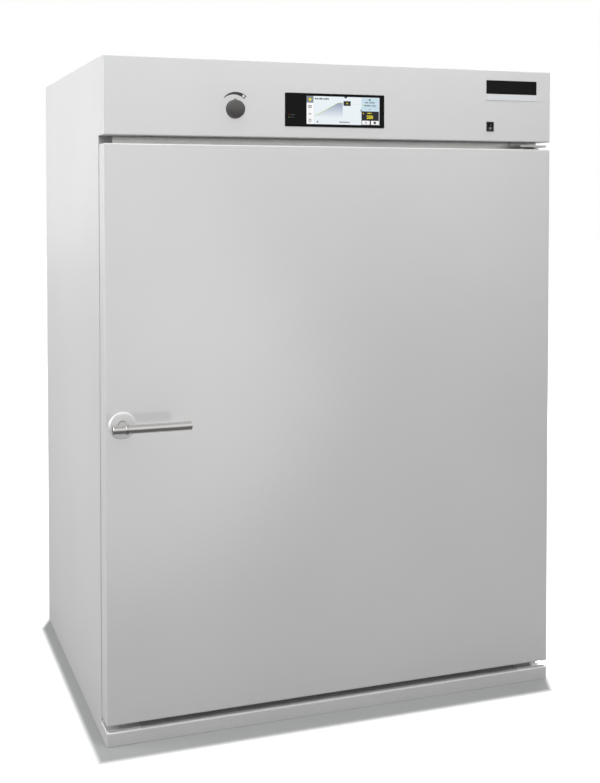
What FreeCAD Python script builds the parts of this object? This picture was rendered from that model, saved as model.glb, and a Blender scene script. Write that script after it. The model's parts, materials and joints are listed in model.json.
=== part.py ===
import FreeCAD, Part
import math
import os
from FreeCAD import Vector

# Drying oven: a cabinet with one right-hung door, an air-circulated chamber and a control fascia on top.
# Millimetres. +Z is up, the door faces -Y, and the origin is the floor point under the cabinet's centre.

os.makedirs("parts", exist_ok=True)

# Chamber
chamber_width = 750.0
chamber_depth = 550.0
chamber_height = 1100.0
chamber_floor_z = 90.0
liner_sheet = 1.0
side_wall = 145.0
side_wool = 100.0
plenum_depth = 70.0
rear_wool = 60.0
motor_space = 58.0
head_wool = 60.0
head_wall = 51.0

# Casing
casing_sheet = 1.5
bend_radius = 2.5
plinth_height = 28.0
front_flange = 30.0
hidden_flange = 20.0
carcass_sheet = 1.5
hole_rim = 4.0
runner_width = 40.0
runner_inset = 60.0
runner_wall = 2.0

# Door and the gaps round it
door_thickness = 48.0
door_gap = 14.0
door_foot_gap = 15.0
door_head_gap = 17.0
liner_raise = 7.0
liner_field_margin = 25.0
gasket_width = 22.0
gasket_overlap = 30.0
gasket_bevel = 4.0
seat_clearance = 0.3
running_clearance = 0.05

# Hinges
hinge_inset = 27.0
hinge_setback = 20.0
hinge_pin_radius = 5.0
hinge_pin_engage = 20.0
hinge_pin_end_gap = 4.0
hinge_pin_chamfer = 1.0
bracket_length = 71.0
bracket_plate = 4.0
bracket_side_inset = 2.0
bracket_front_inset = 3.0
bracket_corner = 6.0
bracket_rim = 2.0
bush_flange = 2.0
bush_wall = 3.0
bush_flange_radius = 9.0
hinge_foot_height = 40.0

# Lever handle
handle_inset = 35.0
handle_z = 664.0
rosette_radius = 28.5
rosette_thickness = 6.0
rosette_bevel = 2.5
neck_radius = 10.0
grip_radius = 9.0
grip_standoff = 48.0
grip_left_reach = 29.0
grip_right_reach = 134.0
grip_end_chamfer = 1.5
collar_width = 6.0
collar_wall = 1.5
spindle_side = 9.0
spindle_hole_radius = 7.5
cam_length = 28.0
cam_width = 18.0
cam_thickness = 5.7
cam_corner = 4.0
keeper_side_inset = 3.0

# Control fascia
fascia_height = 162.0
fascia_foot_return = 50.0
glass_width = 230.5
glass_height = 71.0
glass_thickness = 2.5
glass_proud = 1.0
glass_left_x = -131.0
glass_low_z_up = 25.0
glass_fit = 0.4
glass_corner = 1.5
screen_width = 170.3
screen_height = 60.0
screen_thickness = 0.6
screen_from_glass_left = 48.6
housing_margin = 6.0
housing_depth = 28.0
housing_round = 4.0
housing_rib_count = 9
housing_rib_sheet = 2.0
housing_rib_height = 3.0
housing_rib_inset = 8.0
plate_width = 130.0
plate_height = 31.0
plate_strip_height = 14.0
plate_thickness = 0.8
plate_left_x = 353.0
plate_top_drop = 23.5
rocker_left_x = 353.5
rocker_width = 18.6
rocker_height = 21.8
rocker_low_z_up = 22.6
rocker_rim = 2.0
rocker_rim_proud = 1.5
rocker_body_depth = 22.0
rocker_tip_deg = 8.0
rocker_proud = 1.2
rocker_rim_round = 0.8
rocker_wall = 0.8
rocker_side_gap = 0.3
rocker_end_gap = 0.7
rocker_pivot_depth = 1.0
rocker_foot_depth = 2.0
rocker_belly_depth = 4.0
rocker_foot_inset = 0.8

# Exhaust-air flap and its knob
knob_x = -242.4
knob_z_up = 58.0
knob_radius = 20.0
knob_depth = 17.0
knob_bevel = 1.4
knob_skirt = 3.0
knob_draft = 2.0
pointer_width = 2.6
pointer_length = 8.8
pointer_edge_gap = 0.6
pointer_rise = 0.6
rod_in_knob = 12.0
rod_past_riser = 4.0
rod_radius = 4.0
rod_bush_wall = 2.5
rod_bush_length = 9.0
riser_bore = 100.0
riser_sheet = 1.0
riser_from_rear = 62.0
riser_top_gap = 8.0
flap_sheet = 1.5
flap_sleeve_wall = 2.0
flap_edge_gap = 2.0
flap_rest_deg = 45.0
spigot_radius = 40.0
spigot_wall = 0.8
spigot_swell = 0.6
spigot_swell_gap = 2.0
spigot_reach = 58.5
spigot_over_rod = 50.0

# Air circulation
fan_z_in_chamber = 550.0
impeller_radius = 130.0
impeller_depth = 45.0
impeller_rear_gap = 15.0
impeller_sheet = 1.5
hub_radius = 17.6
hub_length = 26.0
blade_count = 9
blade_root_radius = 75.0
blade_lean_deg = 38.0
blade_bow = 6.4
blade_root_inset = 2.0
blade_tip_inset = 1.0
shaft_radius = 8.0
shaft_past_hub = 4.0
shaft_chamfer = 1.0
shaft_end_gap = 1.0
shaft_hole_radius = 14.0
motor_side = 150.0
motor_corner = 28.0
motor_depth = 40.0
motor_rib_height = 6.0
motor_rib_sheet = 3.0
motor_rib_count = 7
motor_end_wall = 3.0
motor_foot_height = 6.0
motor_foot_side = 14.0
motor_foot_inset = 24.0
heater_ring_radius = 165.0
heater_tube_radius = 4.25
heater_tube_sides = 12
heater_from_wheel_rear = 10.0
heater_length_count = 12
heater_clip_lengths = (1, 4, 7, 10)
heater_leg_x = 14.0
clip_sheet = 2.0
clip_width = 14.0
baffle_sheet = 1.2
intake_radius = 115.0
intake_slot_height = 9.0
intake_slot_pitch = 19.0
side_slot_count = 12
side_slot_length = 60.0
side_slot_width = 9.0
side_slot_inset = 28.0
inlet_radius = 16.0
inlet_wall = 1.0
inlet_x = -150.0
probe_radius = 3.0
probe_head_radius = 9.0
probe_head_length = 22.0
probe_x = 300.0
probe_z_in_chamber = 900.0

# Shelves
shelf_levels = 15
first_level = 55.0
last_level_gap = 65.0
post_size = 12.0
ledge_width = 14.0
ledge_sheet = 1.2
ledge_upstand = 7.0
ladder_end_gap = 12.0
ladder_foot_gap = 0.3
post_inset = 60.0
grid_front_gap = 38.0
grid_side_gap = 1.0
grid_frame_radius = 3.0
grid_wire_radius = 1.6
grid_wire_count = 20
grid_bar_radius = 2.5
grid_weld_gap = 0.02
grid_loaded_levels = {"shelf_grid_lower": 3, "shelf_grid_middle": 7, "shelf_grid_upper": 11}

# Electrics and fixings
contactor_x = 250.0
contactor_width = 45.0
contactor_depth = 78.0
contactor_height = 82.0
contactor_crown_height = 16.0
contactor_crown_inset = 4.0
contactor_step = 15.0
pole_count = 3
pole_width = 8.0
pole_height = 14.0
rail_length = 208.0
rail_width = 35.0
rail_height = 7.5
rail_sheet = 1.2
rail_brim = 5.0
terminal_count = 12
terminal_pitch = 8.0
terminal_gap = 0.4
terminal_start = 20.0
terminal_overhang = 6.0
terminal_shoulder = 22.0
terminal_height = 36.0
terminal_crown = 12.0
gland_radius = 12.0
gland_bore = 6.0
gland_thread_radius = 8.0
gland_cap_radius = 10.2
gland_hexagon_length = 7.0
gland_cap_length = 11.0
gland_thread_length = 12.0
gland_x = 380.0
gland_z = 120.0
screw_head_radius = 4.5
screw_head_height = 2.2
rear_screws_each_side = 5
plate_screw_inset = 10.0
plate_screw_pitch = 20.0
louvre_width = 110.0
louvre_pitch = 16.0
louvre_count = 8
louvre_rise = 4.0
louvre_block_x = 232.0
vent_sheet = 1.0
vent_margin = 8.0

# Places worked out from the sizes above
half_chamber = chamber_width / 2
half_width = half_chamber + side_wall
casing_depth = chamber_depth + plenum_depth + rear_wool + motor_space + door_gap + door_thickness
front_y = -casing_depth / 2
rear_y = casing_depth / 2
body_front_y = front_y + door_thickness + door_gap
chamber_rear_y = body_front_y + chamber_depth
liner_rear_y = chamber_rear_y + plenum_depth
wool_rear_y = liner_rear_y + rear_wool
chamber_top_z = chamber_floor_z + chamber_height
door_low_z = plinth_height + door_foot_gap
door_top_z = chamber_top_z + head_wall
fascia_low_z = door_top_z + door_head_gap
casing_height = fascia_low_z + fascia_height
deck_z = chamber_top_z + head_wool
door_rear_y = front_y + door_thickness
half_wool = half_chamber + side_wool
inner_front_y = body_front_y + casing_sheet
inner_rear_y = rear_y - casing_sheet
inner_half = half_width - casing_sheet
frame_half = half_width - front_flange
hinge_x = half_width - hinge_inset
hinge_y = front_y + hinge_setback
handle_x = -half_width + handle_inset
grip_y = front_y - grip_standoff
knob_z = fascia_low_z + knob_z_up
glass_low_z = fascia_low_z + glass_low_z_up
fan_z = chamber_floor_z + fan_z_in_chamber
riser_y = chamber_rear_y - riser_from_rear
riser_half = riser_bore / 2 + riser_sheet
riser_top_z = casing_height - riser_top_gap
spigot_z = knob_z + spigot_over_rod
spigot_bore = spigot_radius - spigot_swell - spigot_wall
impeller_rear_y = liner_rear_y - impeller_rear_gap
impeller_front_y = impeller_rear_y - impeller_depth
motor_front_y = wool_rear_y + carcass_sheet + motor_foot_height
motor_rear_y = motor_front_y + motor_depth
motor_core_rear_y = motor_rear_y - motor_rib_height
heater_y = impeller_rear_y - heater_from_wheel_rear - heater_tube_radius
ladder_low_z = chamber_floor_z + ladder_foot_gap
level_pitch = (chamber_height - first_level - last_level_gap) / (shelf_levels - 1)
grid_depth = chamber_depth - ladder_end_gap - grid_front_gap


def box(x0, x1, y0, y1, z0, z1):
    return Part.makeBox(x1 - x0, y1 - y0, z1 - z0, Vector(x0, y0, z0))


def rod_x(x0, x1, y, z, radius):
    return Part.makeCylinder(radius, x1 - x0, Vector(x0, y, z), Vector(1, 0, 0))


def rod_y(x, z, y0, y1, radius):
    return Part.makeCylinder(radius, y1 - y0, Vector(x, y0, z), Vector(0, 1, 0))


def rod_z(x, y, z0, z1, radius):
    return Part.makeCylinder(radius, z1 - z0, Vector(x, y, z0), Vector(0, 0, 1))


def wire(start, end, radius):
    """A straight eight-sided wire along X or Y, as far across its flats as a round one."""
    way = end - start
    side = Vector(way.y, way.x, 0).normalize()
    corner = radius / math.cos(math.pi / 8)
    turns = [math.pi * (2 * step + 1) / 8 for step in range(8)]
    outline = [start + side * (corner * math.cos(turn)) + Vector(0, 0, corner * math.sin(turn))
               for turn in turns]
    return Part.Face(Part.makePolygon(outline + outline[:1])).extrude(way)


def hexagon_prism(centre, way, radius):
    """A hexagonal head or nut from its centre along the way, its corners at the radius."""
    across = Vector(1, 0, 0)
    up = way.cross(across).normalize()
    turns = [math.pi * step / 3 for step in range(6)]
    outline = [centre + across * (radius * math.cos(turn)) + up * (radius * math.sin(turn))
               for turn in turns]
    return Part.Face(Part.makePolygon(outline + outline[:1])).extrude(way)


def profile_yz(points, x0, x1):
    """A closed outline in the Y-Z plane, drawn out along X."""
    corners = [Vector(x0, y, z) for y, z in points]
    face = Part.Face(Part.makePolygon(corners + corners[:1]))
    return face.extrude(Vector(x1 - x0, 0, 0))


def turned_y(points, x, z):
    """A closed (radius, y) outline turned about the axis through x and z along Y."""
    corners = [Vector(x + radius, y, z) for radius, y in points]
    face = Part.Face(Part.makePolygon(corners + corners[:1]))
    return face.revolve(Vector(x, 0, z), Vector(0, 1, 0), 360)


def on_plane(edge, axis, value):
    """True where the whole edge lies at one value of x, y or z."""
    limits = edge.BoundBox
    low = getattr(limits, axis + "Min")
    high = getattr(limits, axis + "Max")
    return abs(low - value) < 1e-6 and abs(high - value) < 1e-6


def rounded(shape, radius, wanted):
    return shape.makeFillet(radius, [edge for edge in shape.Edges if wanted(edge)])


def mirrored_x(shape):
    return shape.mirror(Vector(0, 0, 0), Vector(1, 0, 0))


def save(name, shape):
    solids = shape.Solids
    bad = [solid for solid in solids if not solid.isValid()]
    if not solids or bad:
        raise ValueError("bad solid in " + name)
    kept = solids[0] if len(solids) == 1 else Part.makeCompound(solids)
    kept.exportStep("parts/" + name + ".step")
    print(name, len(solids), "solid(s)", round(kept.Volume / 1000, 1), "cm3")


# Casing

def side_panel_left():
    """One sheet: the side, a front return flange beside the door's gasket, and a rear flange."""
    web = box(-half_width, -inner_half, body_front_y, inner_rear_y, 0, casing_height)
    front = box(-half_width, -frame_half, body_front_y, inner_front_y, 0, casing_height)
    rear = box(-half_width, -half_width + hidden_flange, inner_rear_y - casing_sheet, inner_rear_y,
               0, casing_height)
    panel = web.fuse([front, rear]).removeSplitter()
    return rounded(panel, bend_radius, lambda edge: on_plane(edge, "X", -half_width)
                   and on_plane(edge, "Y", body_front_y))


def top_cover():
    """Lid between the side panels, notched round their flanges, with a strip turned down each side."""
    under = casing_height - casing_sheet
    lid = box(-inner_half, inner_half, body_front_y, inner_rear_y, under, casing_height)
    front_notch = box(-inner_half, -frame_half, body_front_y, inner_front_y, under, casing_height)
    rear_notch = box(-inner_half, -half_width + hidden_flange, inner_rear_y - casing_sheet, inner_rear_y,
                     under, casing_height)
    strip = box(-inner_half, -inner_half + casing_sheet, inner_front_y, inner_rear_y - casing_sheet,
                casing_height - hidden_flange, under)
    notches = [front_notch, rear_notch, mirrored_x(front_notch), mirrored_x(rear_notch)]
    return Part.makeCompound([lid.cut(notches), strip, mirrored_x(strip)])


def clear_cut(area, window):
    """The two parts of an area beside the first side of the window that can be cut right across."""
    x0, x1, z0, z1 = area
    w0, w1, w2, w3 = window
    if w2 > z0:
        return (x0, x1, z0, w2), (x0, x1, w2, z1)
    if w3 < z1:
        return (x0, x1, z0, w3), (x0, x1, w3, z1)
    if w0 > x0:
        return (x0, w0, z0, z1), (w0, x1, z0, z1)
    return (x0, w1, z0, z1), (w1, x1, z0, z1)


def overlaps(area, window):
    return (window[0] < area[1] and window[1] > area[0]
            and window[2] < area[3] and window[3] > area[2])


def plates_round(area, windows):
    """Rectangles that touch and together cover an area of x and z, but leave its windows free."""
    inside = [(max(w[0], area[0]), min(w[1], area[1]), max(w[2], area[2]), min(w[3], area[3]))
              for w in windows if overlaps(area, w)]
    if not inside:
        return [area]
    if len(inside) == 1 and inside[0] == area:
        return []
    whole = [window for window in inside if window != area]
    fits = [pair for pair in (clear_cut(area, window) for window in whole)
            if all(not (overlaps(pair[0], w) and overlaps(pair[1], w)) for w in inside)]
    first, second = fits[0] if fits else clear_cut(area, whole[0])
    return plates_round(first, inside) + plates_round(second, inside)


def square_round(x, z, radius):
    """The square block of a sheet that a round hole is made in."""
    half = radius + hole_rim
    return (x - half, x + half, z - half, z + half)


def rim_plates(x, z, radius, y0, y1):
    """The four mitred plates that meet round a hole."""
    half = radius + hole_rim
    hole = rod_y(x, z, y0, y1, radius)
    corners = [Vector(x - half, y0, z - half), Vector(x + half, y0, z - half),
               Vector(x + half, y0, z + half), Vector(x - half, y0, z + half)]
    plates = []
    for index in range(4):
        outline = [Vector(x, y0, z), corners[index], corners[(index + 1) % 4]]
        face = Part.Face(Part.makePolygon(outline + outline[:1]))
        plates.append(face.extrude(Vector(0, y1 - y0, 0)).cut(hole))
    return plates


def plated_sheet(area, y0, y1, windows, pipes, small_holes):
    """A flat sheet made up of touching plates round its windows and the holes of its pipes."""
    squares = [square_round(x, z, radius) for x, z, radius in pipes]
    drills = [rod_y(x, z, y0, y1, radius) for x, z, radius in small_holes]
    plates = [box(x0, x1, y0, y1, z0, z1).cut(drills)
              for x0, x1, z0, z1 in plates_round(area, windows + squares)]
    for x, z, radius in pipes:
        plates += rim_plates(x, z, radius, y0, y1)
    return plates


def vent_blocks():
    """Centre and number of louvres of each vent: one each side of the motor, two by the electrics."""
    return [(-louvre_block_x, fan_z, louvre_count), (louvre_block_x, fan_z, louvre_count),
            (0, knob_z, louvre_count // 2), (louvre_block_x, knob_z, louvre_count // 2)]


def vent_plate(x, z, rows):
    """Pressed plate of hooded louvres over one window of the rear panel."""
    half_wide = louvre_width / 2
    half_high = rows * louvre_pitch / 2
    plate = box(x - half_wide - vent_margin, x + half_wide + vent_margin, rear_y, rear_y + vent_sheet,
                z - half_high - vent_margin, z + half_high + vent_margin)
    hoods = []
    slots = []
    for row in range(rows):
        low = z + (row - rows / 2) * louvre_pitch + louvre_pitch / 6
        high = low + louvre_pitch * 2 / 3
        hoods.append(profile_yz([(rear_y, high), (rear_y + louvre_rise, low),
                                 (rear_y + louvre_rise - vent_sheet, low), (rear_y, high - vent_sheet)],
                                x - half_wide, x + half_wide))
        slots.append(box(x - half_wide, x + half_wide, rear_y, rear_y + vent_sheet, low, high - vent_sheet))
    return plate.cut(slots).fuse(hoods)


def rear_panel():
    """Flat back with a vent plate over each window and holes for the pipes and the gland."""
    windows = [(x - louvre_width / 2, x + louvre_width / 2,
                z - rows * louvre_pitch / 2, z + rows * louvre_pitch / 2) for x, z, rows in vent_blocks()]
    pipes = [(knob_x, spigot_z, spigot_radius - spigot_swell), (inlet_x, fan_z, inlet_radius)]
    sheet = plated_sheet((-half_width, half_width, 0, casing_height), inner_rear_y, rear_y, windows, pipes,
                         [(gland_x, gland_z, gland_thread_radius)])
    return Part.makeCompound(sheet + [vent_plate(*block) for block in vent_blocks()])


def plinth():
    """Step under the door: top, front and two ends, open below and behind."""
    outer = box(-half_width, half_width, front_y, body_front_y, 0, plinth_height)
    outer = rounded(outer, bend_radius, lambda edge: on_plane(edge, "Y", front_y)
                    and (on_plane(edge, "Z", plinth_height) or on_plane(edge, "X", half_width)
                         or on_plane(edge, "X", -half_width)))
    inside = box(-inner_half, inner_half, front_y + casing_sheet, body_front_y, 0,
                 plinth_height - casing_sheet)
    return outer.cut(inside)


def base_tray():
    """Floor of the casing: a sheet with its edges turned down between the side panels."""
    low = plinth_height - hidden_flange
    outer = box(-inner_half, inner_half, inner_front_y, inner_rear_y - casing_sheet, low, plinth_height)
    inside = box(-inner_half + carcass_sheet, inner_half - carcass_sheet, inner_front_y + carcass_sheet,
                 inner_rear_y - casing_sheet - carcass_sheet, low, plinth_height - carcass_sheet)
    return outer.cut(inside)


def base_runners():
    """Two hollow bars under the tray that carry the oven on the floor."""
    solids = []
    top = plinth_height - carcass_sheet
    for side in (-1, 1):
        x0 = side * (half_width - runner_inset) - runner_width / 2
        bar = box(x0, x0 + runner_width, inner_front_y + hidden_flange, inner_rear_y - hidden_flange, 0, top)
        bore = box(x0 + runner_wall, x0 + runner_width - runner_wall, inner_front_y + hidden_flange,
                   inner_rear_y - hidden_flange, runner_wall, top - runner_wall)
        solids.append(bar.cut(bore))
    return Part.makeCompound(solids)


def front_frame():
    """Stainless face between the side flanges, up behind the fascia, with the chamber's opening."""
    plate = box(-frame_half, frame_half, body_front_y, inner_front_y, 0, fascia_low_z + hidden_flange)
    opening = box(-half_chamber, half_chamber, body_front_y, inner_front_y, chamber_floor_z, chamber_top_z)
    return plate.cut(opening)


# Chamber and its insulation

def liner_floor():
    reach = half_chamber + liner_sheet
    return box(-reach, reach, inner_front_y, liner_rear_y + liner_sheet, chamber_floor_z - liner_sheet,
               chamber_floor_z)


def riser_hole(z0, z1, half):
    return box(knob_x - half, knob_x + half, riser_y - half, riser_y + half, z0, z1)


def liner_ceiling():
    reach = half_chamber + liner_sheet
    sheet = box(-reach, reach, inner_front_y, liner_rear_y + liner_sheet, chamber_top_z,
                chamber_top_z + liner_sheet)
    return sheet.cut(riser_hole(chamber_top_z, chamber_top_z + liner_sheet, riser_bore / 2))


def liner_sides():
    left = box(-half_chamber - liner_sheet, -half_chamber, inner_front_y, liner_rear_y + liner_sheet,
               chamber_floor_z, chamber_top_z)
    return Part.makeCompound([left, mirrored_x(left)])


def heater_leg_z():
    return fan_z - math.sqrt(heater_ring_radius ** 2 - heater_leg_x ** 2)


def fresh_air_passage():
    return (inlet_x, fan_z, inlet_radius)


def small_passages():
    """Centre and radius of what else passes the rear wall: the shaft, the probe and the heater's legs."""
    legs = [(x, heater_leg_z(), heater_tube_radius) for x in (-heater_leg_x, heater_leg_x)]
    probe = (probe_x, chamber_floor_z + probe_z_in_chamber, probe_radius)
    return [(0, fan_z, shaft_hole_radius), probe] + legs


def square_holes(y0, y1):
    return [box(x - radius, x + radius, y0, y1, z - radius, z + radius)
            for x, z, radius in small_passages() + [fresh_air_passage()]]


def liner_rear():
    area = (-half_chamber, half_chamber, chamber_floor_z, chamber_top_z)
    return Part.makeCompound(plated_sheet(area, liner_rear_y, liner_rear_y + liner_sheet, [],
                                          [fresh_air_passage()], small_passages()))


def chamber_wool():
    """Mineral wool slabs: two sides, floor, top and rear, each fitted against its sheet."""
    low = chamber_floor_z - liner_sheet
    high = chamber_top_z + liner_sheet
    reach = half_chamber + liner_sheet
    left = box(-half_wool, -reach, inner_front_y, wool_rear_y, low, high)
    floor = box(-half_wool, half_wool, inner_front_y, wool_rear_y, plinth_height, low)
    top = box(-half_wool, half_wool, inner_front_y, wool_rear_y, high, deck_z)
    top = top.cut(riser_hole(high, deck_z, riser_half))
    rear_front_y = liner_rear_y + liner_sheet
    rear = box(-reach, reach, rear_front_y, wool_rear_y, low, high)
    rear = rear.cut(square_holes(rear_front_y, wool_rear_y))
    return Part.makeCompound([left, mirrored_x(left), floor, top, rear])


def side_retainers():
    """Sheets that hold the side wool off the warm-air gap behind the side panels."""
    left = box(-half_wool - carcass_sheet, -half_wool, inner_front_y, wool_rear_y, plinth_height, deck_z)
    return Part.makeCompound([left, mirrored_x(left)])


def rear_carrier():
    """Sheet behind the rear wool that carries the fan motor."""
    area = (-inner_half, inner_half, plinth_height, deck_z)
    return Part.makeCompound(plated_sheet(area, wool_rear_y, wool_rear_y + carcass_sheet, [],
                                          [fresh_air_passage()], small_passages()))


def electrics_deck():
    """Sheet over the top wool, edges turned up against the side panels."""
    outer = box(-inner_half, inner_half, inner_front_y, inner_rear_y - casing_sheet, deck_z,
                deck_z + hidden_flange)
    inside = box(-inner_half + carcass_sheet, inner_half - carcass_sheet, inner_front_y,
                 inner_rear_y - casing_sheet, deck_z + carcass_sheet, deck_z + hidden_flange)
    return outer.cut([inside, riser_hole(deck_z, deck_z + hidden_flange, riser_half)])


# Air circulation and heating

def air_baffle():
    """Sheet before the fan: a round field of intake slots and a row of outlet slots along each side."""
    y1 = chamber_rear_y + baffle_sheet
    sheet = box(-half_chamber, half_chamber, chamber_rear_y, y1, chamber_floor_z, chamber_top_z)
    slots = []
    rows = int(2 * intake_radius / intake_slot_pitch)
    for row in range(rows):
        z = (row - (rows - 1) / 2) * intake_slot_pitch
        half = math.sqrt(intake_radius ** 2 - z ** 2)
        for side in (-1, 1):
            inner = side * intake_slot_height / 2
            outer = side * half
            slots.append(box(min(inner, outer), max(inner, outer), chamber_rear_y, y1,
                             fan_z + z - intake_slot_height / 2, fan_z + z + intake_slot_height / 2))
    pitch = chamber_height / side_slot_count
    for level in range(side_slot_count):
        z = chamber_floor_z + (level + 0.5) * pitch
        for side in (-1, 1):
            x = side * (half_chamber - side_slot_inset)
            slots.append(box(x - side_slot_width / 2, x + side_slot_width / 2, chamber_rear_y, y1,
                             z - side_slot_length / 2, z + side_slot_length / 2))
    return sheet.cut(slots)


def heater_corner_deg(step):
    """Angle of a bend of the heater, counted from its left leg over the top to its right leg."""
    gap = math.degrees(math.asin(heater_leg_x / heater_ring_radius))
    return -90 - gap - step * (360 - 2 * gap) / heater_length_count


def heater_ring():
    """Sheathed tube led round the impeller in short straight lengths, its legs out through the rear wall."""
    end_y = wool_rear_y + carcass_sheet + motor_foot_height
    points = [Vector(-heater_leg_x, end_y, heater_leg_z())]
    for step in range(heater_length_count + 1):
        turn = math.radians(heater_corner_deg(step))
        points.append(Vector(heater_ring_radius * math.cos(turn), heater_y,
                             fan_z + heater_ring_radius * math.sin(turn)))
    points.append(Vector(heater_leg_x, end_y, heater_leg_z()))
    turns = [2 * math.pi * side / heater_tube_sides for side in range(heater_tube_sides)]
    section = Part.makePolygon([points[0] + Vector(heater_tube_radius * math.cos(turn), 0,
                                                   heater_tube_radius * math.sin(turn))
                                for turn in turns + turns[:1]])
    mitred = 1
    return Part.makePolygon(points).makePipeShell([section], True, False, mitred)


def heater_clips():
    """Bent strips on the rear wall that hold the heater in the middle of four of its lengths."""
    solids = []
    half_length_deg = (heater_corner_deg(0) - heater_corner_deg(1)) / 2
    reach = heater_ring_radius * math.cos(math.radians(half_length_deg)) + heater_tube_radius
    for length in heater_clip_lengths:
        arm = box(reach, reach + clip_sheet, heater_y - heater_tube_radius, liner_rear_y,
                  -clip_width / 2, clip_width / 2)
        foot = box(reach + clip_sheet, reach + clip_width, liner_rear_y - clip_sheet, liner_rear_y,
                   -clip_width / 2, clip_width / 2)
        clip = arm.fuse(foot)
        clip.rotate(Vector(0, 0, 0), Vector(0, 1, 0), half_length_deg - heater_corner_deg(length))
        clip.translate(Vector(0, 0, fan_z))
        solids.append(clip)
    return Part.makeCompound(solids)


def fan_impeller():
    """Radial wheel: rear disc, hub, front ring and leaning curved blades."""
    rear_disc = rod_y(0, fan_z, impeller_rear_y - impeller_sheet, impeller_rear_y, impeller_radius)
    hub = rod_y(0, fan_z, impeller_rear_y - hub_length, impeller_rear_y, hub_radius)
    ring = rod_y(0, fan_z, impeller_front_y, impeller_front_y + impeller_sheet, impeller_radius).cut(
        rod_y(0, fan_z, impeller_front_y, impeller_front_y + impeller_sheet, blade_root_radius))
    lean = math.radians(blade_lean_deg)
    tip = impeller_radius - blade_tip_inset
    blade_front_y = impeller_front_y + impeller_sheet
    inner = Vector(blade_root_radius + blade_root_inset, blade_front_y, 0)
    outer = Vector(tip * math.cos(lean), blade_front_y, tip * math.sin(lean))
    across = Vector(1, 0, -1).normalize()
    middle = (inner + outer) * 0.5 + across * blade_bow
    shift = across * -impeller_sheet
    edges = [Part.Arc(inner, middle, outer).toShape(), Part.makeLine(outer, outer + shift),
             Part.Arc(outer + shift, middle + shift, inner + shift).toShape(),
             Part.makeLine(inner + shift, inner)]
    blade = Part.Face(Part.Wire(edges)).extrude(Vector(0, impeller_depth - 2 * impeller_sheet, 0))
    blades = []
    for index in range(blade_count):
        copy = blade.copy()
        copy.rotate(Vector(0, 0, 0), Vector(0, 1, 0), index * 360.0 / blade_count)
        copy.translate(Vector(0, 0, fan_z))
        blades.append(copy)
    wheel = rear_disc.fuse([hub, ring] + blades)
    return wheel.cut(rod_y(0, fan_z, impeller_front_y, impeller_rear_y, shaft_radius))


def fan_shaft():
    front = impeller_rear_y - hub_length - shaft_past_hub
    rear = motor_core_rear_y - motor_end_wall - shaft_end_gap
    shaft = rod_y(0, fan_z, front, rear, shaft_radius)
    return shaft.makeChamfer(shaft_chamfer, [edge for edge in shaft.Edges if on_plane(edge, "Y", front)])


def fan_motor():
    """Square motor on four feet, ribbed on its back and bored for the shaft."""
    half = motor_side / 2
    core = box(-half, half, motor_front_y, motor_core_rear_y, fan_z - half, fan_z + half)
    core = core.makeChamfer(motor_corner, [edge for edge in core.Edges if edge.BoundBox.YLength > 1])
    foot_half = motor_foot_side / 2
    feet = []
    for x in (motor_foot_inset - half, half - motor_foot_inset):
        for z in (fan_z + motor_foot_inset - half, fan_z + half - motor_foot_inset):
            feet.append(box(x - foot_half, x + foot_half, wool_rear_y + carcass_sheet, motor_front_y,
                            z - foot_half, z + foot_half))
    ribs = []
    rib_reach = half - motor_corner
    for index in range(motor_rib_count):
        x = rib_reach * (2 * index / (motor_rib_count - 1) - 1)
        ribs.append(box(x - motor_rib_sheet / 2, x + motor_rib_sheet / 2, motor_core_rear_y, motor_rear_y,
                        fan_z - rib_reach, fan_z + rib_reach))
    bore = rod_y(0, fan_z, motor_front_y, motor_core_rear_y - motor_end_wall,
                 shaft_radius + running_clearance)
    return core.fuse(feet + ribs).cut(bore)


def fresh_air_tube():
    tube = rod_y(inlet_x, fan_z, liner_rear_y, rear_y, inlet_radius)
    return tube.cut(rod_y(inlet_x, fan_z, liner_rear_y, rear_y, inlet_radius - inlet_wall))


def temperature_probe():
    z = chamber_floor_z + probe_z_in_chamber
    y1 = wool_rear_y + carcass_sheet
    stem = rod_y(probe_x, z, chamber_rear_y + plenum_depth / 2, y1, probe_radius)
    head = rod_y(probe_x, z, y1, y1 + probe_head_length, probe_head_radius)
    return stem.fuse(head).removeSplitter()


# Exhaust

def exhaust_riser():
    """Square duct of welded plates from the chamber's ceiling to its cap, with an outlet to the rear."""
    low = chamber_top_z + liner_sheet
    high = riser_top_z - riser_sheet
    half = riser_bore / 2
    front = box(knob_x - half, knob_x + half, riser_y - riser_half, riser_y - half, low, high)
    rear = box(knob_x - half, knob_x + half, riser_y + half, riser_y + riser_half, low, high)
    left = box(knob_x - riser_half, knob_x - half, riser_y - riser_half, riser_y + riser_half, low, high)
    right = box(knob_x + half, knob_x + riser_half, riser_y - riser_half, riser_y + riser_half, low, high)
    cap = riser_hole(high, riser_top_z, riser_half)
    rod_hole = rod_y(knob_x, knob_z, riser_y - riser_half, riser_y + riser_half,
                     rod_radius + running_clearance)
    outlet = rod_y(knob_x, spigot_z, riser_y, riser_y + riser_half, spigot_bore)
    return Part.makeCompound([front.cut(rod_hole), rear.cut([rod_hole, outlet]), left, right, cap])


def exhaust_spigot():
    """Round tube from the riser out through the rear panel, swelled where a hose goes on."""
    y0 = riser_y + riser_half
    y1 = rear_y + spigot_swell_gap
    y2 = rear_y + spigot_reach
    tube = rod_y(knob_x, spigot_z, y0, y1, spigot_radius - spigot_swell)
    tube = tube.fuse(rod_y(knob_x, spigot_z, y1, y2, spigot_radius))
    return tube.cut(rod_y(knob_x, spigot_z, y0, y2, spigot_bore))


def damper_rod():
    return rod_y(knob_x, knob_z, front_y - seat_clearance - rod_in_knob,
                 riser_y + riser_half + rod_past_riser, rod_radius)


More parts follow.
